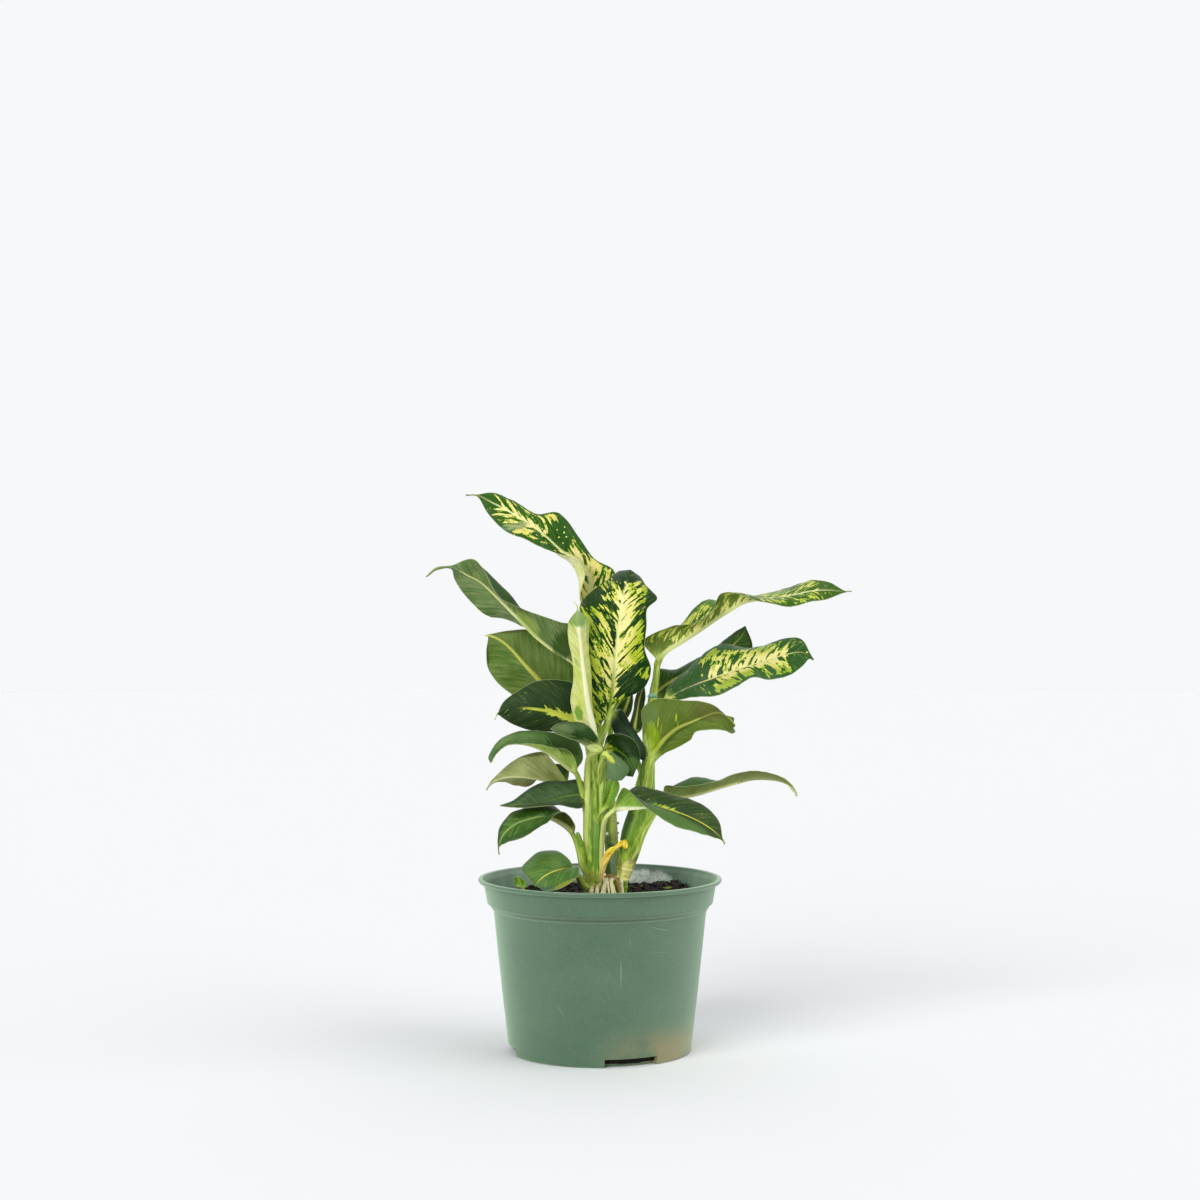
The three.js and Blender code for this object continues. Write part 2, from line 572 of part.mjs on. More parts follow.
// Rib, edges, bulges and stalk radius of a leaf at its control rows, stalk first.
function leafRows(leaf) {
  const rows = [];
  for (const [right, height, depth, radius] of leaf.stalk) {
    rows.push({ rib: seen(right, height, depth), radius, bulge: [0, 0], blade: 0 });
  }
  leaf.blade.forEach(([rib, left, right, leftBulge, rightBulge], k) => {
    const lastRadius = leaf.stalk[leaf.stalk.length - 1][3];
    const fade = 1 - k / (leaf.blade.length - 1);
    rows.push({
      rib: seen(...rib),
      left: left ? seen(...left) : null,
      right: right ? seen(...right) : null,
      radius: TIP_RADIUS + (lastRadius - TIP_RADIUS) * fade * fade,
      bulge: [leftBulge ?? 0, rightBulge ?? 0],
      blade: k === 0 ? 0 : 1,
    });
  });
  const first = rows.findIndex((row) => row.left);
  let side = rows[first].right.clone().sub(rows[first].left).normalize();
  for (let k = first - 1; k >= 0; k -= 1) {
    const along = rows[k + 1].rib.clone().sub(rows[k].rib).normalize();
    side = side.clone().addScaledVector(along, -side.dot(along)).normalize();
    rows[k].left = rows[k].rib.clone().addScaledVector(side, -rows[k].radius);
    rows[k].right = rows[k].rib.clone().addScaledVector(side, rows[k].radius);
  }
  const end = rows[rows.length - 1];
  const before = rows[rows.length - 2];
  const endSide = before.right.clone().sub(before.left).normalize();
  end.left = end.rib.clone().addScaledVector(endSide, -TIP_RADIUS);
  end.right = end.rib.clone().addScaledVector(endSide, TIP_RADIUS);
  return rows;
}

// One ring of the leaf: over its upper face from the left edge to the right, and back below.
function leafRing(rib, left, right, along, bulge, radius, flatness, extra) {
  const top = [];
  const bottom = [];
  for (const q of [-1, -0.5, 0, 0.5, 1]) {
    const edge = q < 0 ? left : right;
    const span = edge.clone().sub(rib);
    const sideways = q < 0 ? span.clone().negate() : span;
    const up = new THREE.Vector3().crossVectors(sideways, along).normalize();
    const rise = (q < 0 ? bulge.x : bulge.y) * 4 * Math.abs(q) * (1 - Math.abs(q));
    const onBlade = rib.clone().addScaledVector(span, Math.abs(q)).addScaledVector(up, rise);
    const slope = (q < 0 ? bulge.x : bulge.y) * 4 * (1 - 2 * Math.abs(q));
    const run = span.clone().addScaledVector(up, slope);
    const flow = q < 0 ? run.negate() : run;
    const normal = new THREE.Vector3().crossVectors(flow, along).normalize();
    if (q === 0) {
      const spread = right.clone().sub(left);
      normal.crossVectors(spread, along).normalize();
    }
    const turn = q * 0.4 * Math.PI;
    const onStalk = rib.clone().addScaledVector(span, Math.abs(Math.sin(turn)));
    const halfBlade = THREE.MathUtils.lerp(BLADE_HALF_THICKNESS, MARGIN_HALF_THICKNESS, Math.abs(q));
    const half = THREE.MathUtils.lerp(radius * Math.cos(turn), halfBlade, flatness);
    const ribDepth = q === 0 ? Math.max(half, radius) : half;
    const middle = onStalk.lerp(onBlade, flatness);
    const wide = span.clone().normalize().multiplyScalar(extra * Math.abs(q));
    middle.add(wide);
    top.push(middle.clone().addScaledVector(normal, half + extra));
    bottom.push(middle.clone().addScaledVector(normal, -ribDepth - extra));
  }
  return [...top, ...bottom.reverse()];
}

function leafGeometry(leaf, extra) {
  const rows = leafRows(leaf);
  const ribs = curveThrough(rows.map((row) => row.rib));
  const lefts = curveThrough(rows.map((row) => row.left));
  const rights = curveThrough(rows.map((row) => row.right));
  const bulges = curveThrough(rows.map((row) => new THREE.Vector3(row.bulge[0], row.bulge[1], 0)));
  const sizes = curveThrough(rows.map((row) => new THREE.Vector3(row.radius, row.blade, 0)));
  const steps = Math.round((rows.length - 1) * STEPS_PER_SPAN);
  const rings = [];
  for (let k = 0; k <= steps; k += 1) {
    const t = k / steps;
    const size = sizes.getPoint(t);
    const flatness = THREE.MathUtils.clamp(size.y, 0, 1);
    const along = ribs.getTangent(t);
    const end = along.clone().multiplyScalar(extra * (k === 0 ? -1 : k === steps ? 1 : 0));
    rings.push(
      leafRing(
        ribs.getPoint(t).add(end),
        lefts.getPoint(t).add(end),
        rights.getPoint(t).add(end),
        along,
        bulges.getPoint(t),
        Math.max(size.x, TIP_RADIUS),
        flatness,
        extra
      )
    );
  }
  return facesOut(skin(rings));
}

function turned(geometry) {
  return geometry.rotateX(Math.PI / 2);
}

// A sector of a ring round the pot's axis, between two radii, two heights and two turns.
function sector(inner, outer, low, high, turn, halfWidth) {
  const middle = THREE.MathUtils.degToRad(turn - 90);
  const half = THREE.MathUtils.degToRad(halfWidth);
  const shape = new THREE.Shape();
  shape.absarc(0, 0, outer, middle - half, middle + half, false);
  shape.absarc(0, 0, inner, middle + half, middle - half, true);
  const geometry = new THREE.ExtrudeGeometry(shape, {
    depth: high - low,
    bevelEnabled: false,
    curveSegments: 6,
  });
  geometry.translate(0, 0, low);
  return solidOf(geometry);
}

function potGeometry() {
  const profile = [
    [0, 0],
    [FOOT_RADIUS - 1.2, 0],
    [FOOT_RADIUS, 1.0],
    [FOOT_RADIUS + 0.5, 4.7],
    [WALL_TOP_RADIUS, WALL_TOP],
    [WALL_TOP_RADIUS + 0.9, WALL_TOP + 0.4],
    [WALL_TOP_RADIUS + 3.0, COLLAR_BOTTOM - 0.6],
    [WALL_TOP_RADIUS + 4.3, COLLAR_BOTTOM],
    [COLLAR_TOP_RADIUS, RIM_HEIGHT - 3.2],
    [RIM_RADIUS - 1.0, RIM_HEIGHT - 2.8],
    [RIM_RADIUS, RIM_HEIGHT - 1.4],
    [RIM_RADIUS - 0.5, RIM_HEIGHT],
    [RIM_RADIUS - 2.9, RIM_HEIGHT],
    [COLLAR_TOP_RADIUS - SHEET, RIM_HEIGHT - 3.8],
    [WALL_TOP_RADIUS + 3.2, COLLAR_BOTTOM - 0.2],
    [WALL_TOP_RADIUS - SHEET, WALL_TOP - 0.8],
    [FOOT_RADIUS + 0.5 - SHEET, 5.2],
    [FOOT_RADIUS - 1.4, FLOOR_THICKNESS],
    [0, FLOOR_THICKNESS],
  ];
  const points = profile.map(([radius, height]) => new THREE.Vector2(radius, height));
  let pot = solidOf(facesOut(lathe(points)));
  for (const turn of DRAIN_TURNS) {
    const wall = DRAIN_HALF_WIDTH + 1.1;
    const top = DRAIN_HEIGHT + SHEET;
    pot = pot.add(sector(DRAIN_BACK_RADIUS - SHEET, FOOT_RADIUS, 0, top, turn, wall));
    pot = pot.subtract(sector(DRAIN_BACK_RADIUS, 70, -1, DRAIN_HEIGHT, turn, DRAIN_HALF_WIDTH));
    pot = pot.subtract(sector(50, 60, 1.0, DRAIN_HEIGHT - 0.8, turn, DRAIN_HOLE_HALF_WIDTH));
  }
  return geometryOf(pot);
}

function lathe(points) {
  const geometry = turned(new THREE.LatheGeometry(points, POT_SEGMENTS));
  geometry.deleteAttribute("normal");
  geometry.deleteAttribute("uv");
  return dropFlatTriangles(mergeVertices(geometry, 1e-4));
}

// Leaves out the triangles that shrink to a line where a turned profile meets its axis.
function dropFlatTriangles(geometry) {
  const index = geometry.index.array;
  const kept = [];
  for (let k = 0; k < index.length; k += 3) {
    const [a, b, c] = [index[k], index[k + 1], index[k + 2]];
    if (a !== b && b !== c && c !== a) {
      kept.push(a, b, c);
    }
  }
  geometry.setIndex(kept);
  return geometry;
}

function soilHeight(x, y) {
  const ripple = 0.9 * Math.sin(x * 0.31 + 1.7) * Math.cos(y * 0.27 + 0.4);
  const grain = 0.6 * Math.sin(x * 0.83 - y * 0.61);
  const mound = SOIL_MOUND * Math.exp(-((x - 50) ** 2 + (y - 42) ** 2) / 500);
  return SOIL_LEVEL + ripple + grain + mound;
}

function soilGeometry(cutters) {
  const rings = [];
  const wallAt = (height) => {
    const share = (height - 5.2) / (WALL_TOP - 6);
    const low = FOOT_RADIUS + 0.5 - SHEET;
    return low + (WALL_TOP_RADIUS - SHEET - low) * Math.min(share, 1) - GAP * 1.4;
  };
  const round = (radius, heightAt) => {
    const ring = [];
    for (let i = 0; i < SOIL_SEGMENTS; i += 1) {
      const turn = (2 * Math.PI * i) / SOIL_SEGMENTS;
      const [x, y] = [radius * Math.cos(turn), radius * Math.sin(turn)];
      ring.push(new THREE.Vector3(x, y, heightAt(x, y)));
    }
    return ring;
  };
  rings.push(round(0.5, () => FLOOR_THICKNESS + GAP));
  rings.push(round(FOOT_RADIUS - 3, () => FLOOR_THICKNESS + GAP));
  rings.push(round(wallAt(8), () => 8));
  rings.push(round(WALL_TOP_RADIUS - 1.65, () => WALL_TOP - 0.7));
  rings.push(round(WALL_TOP_RADIUS + 2.4, () => COLLAR_BOTTOM - 0.4));
  rings.push(round(WALL_TOP_RADIUS + 2.8, (x, y) => Math.max(soilHeight(x, y), 100.6)));
  for (let k = SOIL_RINGS - 1; k > 0; k -= 1) {
    rings.push(round((WALL_TOP_RADIUS * k) / SOIL_RINGS, soilHeight));
  }
  rings.push(round(0.5, soilHeight));
  let soil = solidOf(facesOut(skin(rings)));
  for (const turn of DRAIN_TURNS) {
    soil = soil.subtract(sector(50, 70, 0, DRAIN_HEIGHT + SHEET + GAP, turn, DRAIN_HALF_WIDTH + 3));
  }
  for (const cutter of cutters) {
    soil = soil.subtract(cutter);
  }
  return geometryOf(soil);
}

const LOOKS = {
  pot: { color: 0x6f8a7c, roughness: 0.5 },
  soil: { color: 0x2e2118, roughness: 0.95 },
  stem: { color: 0x6f9a3c, roughness: 0.5 },
  leaf: { color: 0x2f5a2c, roughness: 0.45 },
  variegated: { color: 0xc9c96a, roughness: 0.45 },
  under: { color: 0x6d8a4c, roughness: 0.55 },
  root: { color: 0xcbbf8f, roughness: 0.7 },
  sheath: { color: 0xd9b92c, roughness: 0.6 },
};

const VARIEGATED = ["leaf_01", "leaf_10", "leaf_11", "leaf_15", "leaf_16"];
const UNDER = ["leaf_02", "leaf_03", "leaf_06", "leaf_18", "leaf_19", "leaf_21", "leaf_22"];

const plant = new THREE.Group();

function addMesh(name, geometry, look) {
  const material = new THREE.MeshStandardMaterial({
    color: LOOKS[look].color,
    roughness: LOOKS[look].roughness,
    metalness: 0,
  });
  const mesh = new THREE.Mesh(geometry, material);
  mesh.name = name;
  plant.add(mesh);
}

function lookOf(name) {
  const start = name.slice(0, 7);
  if (VARIEGATED.includes(start)) {
    return "variegated";
  }
  return UNDER.includes(start) ? "under" : "leaf";
}

addMesh("pot", potGeometry(), "pot");

const grownStems = [];
for (const [name, rows] of Object.entries(STEMS)) {
  addMesh(name, limb(rows, 0, 12, 1.4), "stem");
  grownStems.push(solidOf(limb(rows, GAP, 12, 1.4)));
}

const grownRoots = [];
for (const [name, rows] of Object.entries(ROOTS)) {
  let root = solidOf(limb(rows, 0, 8, 1.5));
  for (const stem of grownStems) {
    root = root.subtract(stem);
  }
  addMesh(name, geometryOf(root), "root");
  grownRoots.push(solidOf(limb(rows, GAP, 8, 1.5)));
}

let grownSheath = solidOf(limb(SHEATH, 0, 10, 1.5));
for (const solid of [...grownStems, ...grownRoots]) {
  grownSheath = grownSheath.subtract(solid);
}
addMesh("withered_sheath", geometryOf(grownSheath), "sheath");

const shoot = LEAVES.find((leaf) => leaf.name === "leaf_22_new_shoot");
const grownShoot = solidOf(leafGeometry(shoot, GAP));
addMesh("soil", soilGeometry([...grownStems, ...grownRoots, grownShoot]), "soil");

const neighbours = [...grownStems, ...grownRoots];
for (const leaf of LEAVES) {
  let solid = solidOf(leafGeometry(leaf, 0));
  for (const neighbour of neighbours) {
    solid = solid.subtract(neighbour);
  }
  addMesh(leaf.name, geometryOf(solid), lookOf(leaf.name));
  neighbours.push(solidOf(leafGeometry(leaf, GAP)));
}

export default plant;
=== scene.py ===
"""Potted dieffenbachia: three rooted stems with broad, partly variegated leaves in a grey-green
nursery pot filled with peat. Metres, +Z up; the origin is the middle of the pot's underside and the
front is -Y. Tables and shapes are written in millimetres and turned to metres by MM.
"""
import functools
import json
import math
import random

import bpy
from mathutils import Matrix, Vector, noise

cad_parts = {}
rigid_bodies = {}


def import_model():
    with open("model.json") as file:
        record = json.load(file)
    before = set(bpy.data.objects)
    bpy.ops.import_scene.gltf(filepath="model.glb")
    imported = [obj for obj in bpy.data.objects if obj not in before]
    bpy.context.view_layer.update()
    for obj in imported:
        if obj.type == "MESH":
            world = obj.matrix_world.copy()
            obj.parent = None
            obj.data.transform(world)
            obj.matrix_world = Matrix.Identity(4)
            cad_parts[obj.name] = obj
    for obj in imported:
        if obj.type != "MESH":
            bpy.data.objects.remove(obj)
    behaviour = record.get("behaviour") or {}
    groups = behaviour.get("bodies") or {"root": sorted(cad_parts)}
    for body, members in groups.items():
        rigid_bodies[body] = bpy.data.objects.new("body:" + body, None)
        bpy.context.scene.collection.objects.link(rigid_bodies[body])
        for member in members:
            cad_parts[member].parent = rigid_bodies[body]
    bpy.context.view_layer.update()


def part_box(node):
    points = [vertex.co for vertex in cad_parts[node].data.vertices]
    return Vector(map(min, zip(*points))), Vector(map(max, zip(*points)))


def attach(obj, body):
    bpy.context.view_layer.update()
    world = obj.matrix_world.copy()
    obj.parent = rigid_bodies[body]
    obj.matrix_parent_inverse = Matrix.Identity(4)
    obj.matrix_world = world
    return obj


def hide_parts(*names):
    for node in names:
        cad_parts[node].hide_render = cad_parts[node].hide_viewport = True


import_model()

bl_info = {
    "name": "Potted dieffenbachia",
    "version": (1, 0, 0),
    "blender": (4, 5, 0),
    "location": "View3D > Sidebar > Dieffenbachia",
    "description": "Builds a potted dieffenbachia piece by piece round its packed frame",
    "category": "Object",
}

MM = 0.001

# The plant is laid out as it is seen from the front: every point is given as its distance to the
# right of the pot's axis and its height, both as seen on the plane of the axis, and its depth
# behind that plane. The eye is this far in front of the axis and this high. Its lens and the width
# of its sensor are in millimetres too.
EYE_DISTANCE = 1479
EYE_HEIGHT = 304
LENS = 65.5
SENSOR = 36

# Pot, in millimetres, from the frame's own box where it can be. Its drain pockets are turned by so
# many degrees from the front, towards the right, and their half widths are in degrees.
POT_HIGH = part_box("pot")[1]
RIM_HEIGHT = POT_HIGH.z / MM
RIM_RADIUS = POT_HIGH.x / MM
COLLAR_TOP_RADIUS = 78.7
COLLAR_BOTTOM = 99.8
WALL_TOP_RADIUS = 72.0
WALL_TOP = 95.2
FOOT_RADIUS = 61.6
FLOOR_THICKNESS = 1.6
SHEET = 1.1
POT_SEGMENTS = 192
DRAIN_TURNS = (20, 122, 200, 278)
DRAIN_HALF_WIDTH = 17.2
DRAIN_HEIGHT = 5.5
DRAIN_BACK_RADIUS = 57.0
DRAIN_HOLE_HALF_WIDTH = 8.0

# Ovals are given as the place of their middle, half width, half height and lean in degrees.
# Light scratches on the front of the wall: ovals with their strength.
POT_SCRATCHES = (
    (14.2, 53, -66, 0.3, 10, 0, 0.28),
    (-27, 25, -66, 0.3, 4, 30, 0.14),
    (41, 80, -66, 7, 0.3, -18, 0.2),
    (41, 64, -66, 6, 0.25, -8, 0.13),
)

# Pale grey patches on the inner wall: the main one at the back right and a fainter one at the left
INNER_PALE_PATCH = (30, 115, 66, 20, 6, 0)
INNER_PALE_PATCH_LEFT = (-20, 118, 62, 12, 5, 0)

# Heights of the dark lines in the corners of the collar's step: painted shade under its edges,
# with some grime
COLLAR_SHADE_AND_GRIME = (99.4, 97.1)

# Peat: its level and the height of the mound at the back right, the gap to the pot's floor, the
# lowest place of its surface, and the steps and segments that it is drawn with
SOIL_LEVEL = 102.0
SOIL_MOUND = 5.0
SOIL_GAP = 0.45
SOIL_LOWEST = 100.6
SOIL_STEP = 1.4
SOIL_SEGMENTS = 200

# Loose bits on the peat: their random seed, and their tints from peat over bark to moss. Each tint
# is at its place in the share of bits; moss has the tints above MOSS_TINT.
CRUMB_SEED = 5
MOSS_TINT = 0.88
CRUMB_TINTS = (
    (0.0, "#080504"),
    (0.4, "#110b07"),
    (0.68, "#1e150c"),
    (0.83, "#3a2a19"),
    (0.88, "#323c12"),
    (0.95, "#7c8a30"),
)

# The floor's disc, in metres, just under the pot so that the two don't touch
FLOOR_RADIUS = 6
FLOOR_DROP = -0.0002

# Leaf blades: half thickness at the rib and at the margin, the radius of the tip, the steps of a
# skin from row to row and from the rib to a margin, and how far apart and deep the veins are
BLADE_HALF = 0.24
MARGIN_HALF = 0.14
TIP_RADIUS = 0.4
SPAN_STEPS = 14
SIDE_STEPS = 13
VEIN_SPACING = 5.6
VEIN_DEPTH = 0.10

# How far a blade waves up and down towards its margin, and how deep its midrib is grooved as a
# share of the midrib's radius
BROAD_WAVE = 1.3
SHORT_WAVE = 0.5
GROOVE_DEPTH = 0.35

# Vertex attributes that a material reads. On a leaf: millimetres along the rib, across from it and
# in from the margin, the share of the blade's length, and 1 on the underside and on the flat blade.
# On a limb: millimetres along it, and the direction of a place on its round.
LEAF_MARKS = ("along", "across", "edge", "share", "under", "flat")
LIMB_MARKS = ("along", "side", "back")

# Stems: right, height, depth and radius from the base up.
STEMS = {
    "stem_left": [
        [-5.3, 96, 0, 5.6],
        [-5.3, 112, 0, 5.9],
        [-5.4, 135, 0, 6.0],
        [-5.2, 158, 0, 5.7],
        [-4.6, 178, 0, 4.8],
        [-3.2, 196, -1, 3.6],
        [-1.6, 206, -2, 2.4],
    ],
    "stem_middle": [
        [8, 96, 13, 4.4],
        [8.2, 118, 13, 4.7],
        [7.8, 145, 13, 4.6],
        [7.0, 168, 12, 3.8],
        [6.4, 184, 11, 2.6],
    ],
    "stem_right": [
        [14.2, 96, 2, 3.6],
        [15, 112, 2, 4.2],
        [17.2, 123, 2, 5.7],
        [19.8, 134, 2, 7.2],
        [22.7, 147, 2, 8.0],
        [27.2, 160, 2, 8.1],
        [29.8, 172, 1, 7.3],
        [31.6, 184, 0, 5.8],
        [33, 195, 0, 4.4],
        [34, 203, 0, 3.0],
    ],
}

# Roots from the foot of the stems into the peat: right, height, depth and radius.
ROOTS = {
    "root_a": [
        [-4.8, 109.6, -4, 1.5],
        [-5.9, 107.4, -8.8, 1.6],
        [-6.4, 103.6, -10.5, 1.6],
        [-6.8, 98, -10.5, 1.0],
    ],
    "root_b": [
        [-1.2, 110.4, -4, 1.3],
        [-1.9, 108, -8.8, 1.4],
        [-2.2, 104, -10.5, 1.4],
        [-2.4, 98, -10.5, 0.8],
    ],
    "root_c": [
        [2.6, 118, -1, 1.7], [3.8, 113, -6.5, 1.7], [2.0, 105, -10.5, 1.7], [0.8, 98, -11, 1.0]
    ],
    "root_d": [
        [12.4, 116.4, 1, 1.2], [7.4, 114, -5, 1.5], [9.2, 106, -8.5, 1.8], [10.8, 98, -9, 1.2]
    ],
    "root_e": [
        [14.6, 115.4, 1, 1.2], [14.6, 112.5, -6, 1.2], [15, 106, -8, 1.1], [16.4, 98, -9, 0.7]
    ],
}

# Thin root branches and the stubs of shed leaves, the same way, each with the look it takes.
TWIGS = {
    "root_branch_1": (
        "dry",
        [
            [2.8, 116, -4, 0.8],
            [6, 117.4, -8, 0.9],
            [10.6, 115.8, -10, 0.9],
            [13.2, 108, -11, 0.7],
            [13.8, 99, -11, 0.5],
        ],
    ),
    "root_branch_2": (
        "root",
        [[4.6, 117.4, -5, 0.9], [5.4, 112, -9, 0.8], [6.2, 105, -11, 0.6], [6.8, 99, -11, 0.4]],
    ),
    "shed_stub_low": (
        "stub",
        [[1.6, 143.6, 4, 1.6], [4, 141.4, -2, 1.5], [8.2, 137.6, -3, 1.3], [11.4, 137, 1, 1.1]],
    ),
    "shed_stub_cut": ("cut", [[5.6, 142, 10, 1.0], [5.2, 145, 3, 1.1], [4.8, 145.8, 0.4, 0.9]]),
    "leaf_scar_1": ("scar", [[11.2, 153, 12.6, 0.9], [12.9, 152.8, 12, 0.5]]),
    "leaf_scar_2": ("scar", [[10.8, 146.4, 12.6, 0.9], [12.7, 146, 12, 0.6]]),
    "leaf_scar_3": ("scar", [[10.6, 143.2, 12.6, 0.8], [12.3, 143, 12, 0.5]]),
    "leaf_scar_4": ("scar", [[19.2, 124, 0, 1.2], [22.9, 124.4, -1, 0.7]]),
    "sheath_tip": (
        "cap", [[32.8, 238.4, -15, 1.0], [35, 239.4, -17, 1.5], [38.4, 238.6, -18, 1.0]]
    ),
    "side_bud": (
        "bud",
        [
            [-10.6, 120, -4.6, 1.8],
            [-12, 131, -6.8, 2.2],
            [-13.4, 139.6, -8, 2.0],
            [-14.6, 144.4, -8.4, 1.5],
            [-15.6, 146.6, -8.6, 0.7],
        ],
    ),
}

# Leaf sheaths that wrap the stems: right, height, depth, half width and half thickness.
WRAPS = {
    "wrap_left_low": [
        [-2.5, 113, -2.2, 3.2, 3.6],
        [-2.5, 132, -3, 3.1, 3.6],
        [-2.7, 150, -3.2, 3.0, 3.2],
        [-3.0, 158, -3.4, 1.9, 1.6],
    ],
    "wrap_left_high": [
        [-3.2, 154, -0.8, 3.2, 3.6],
        [-3.3, 170, -1.6, 2.8, 3.2],
        [-3.2, 182, -2.0, 2.2, 2.4],
        [-2.8, 187.6, -2.2, 1.2, 1.2],
    ],
    "wrap_left_back": [
        [0.6, 150, 0, 2.8, 3.4],
        [1.2, 170, -1, 2.6, 3.0],
        [1.6, 190, -2, 2.4, 2.4],
        [1.2, 204, -4, 1.4, 1.4],
    ],
    "wrap_right_side": [
        [28.4, 158, -1.6, 2.6, 3.0],
        [29.2, 172, -3, 3.0, 3.0],
        [30.4, 186, -5, 2.6, 2.6],
        [31.4, 198, -6, 1.4, 1.4],
    ],
}

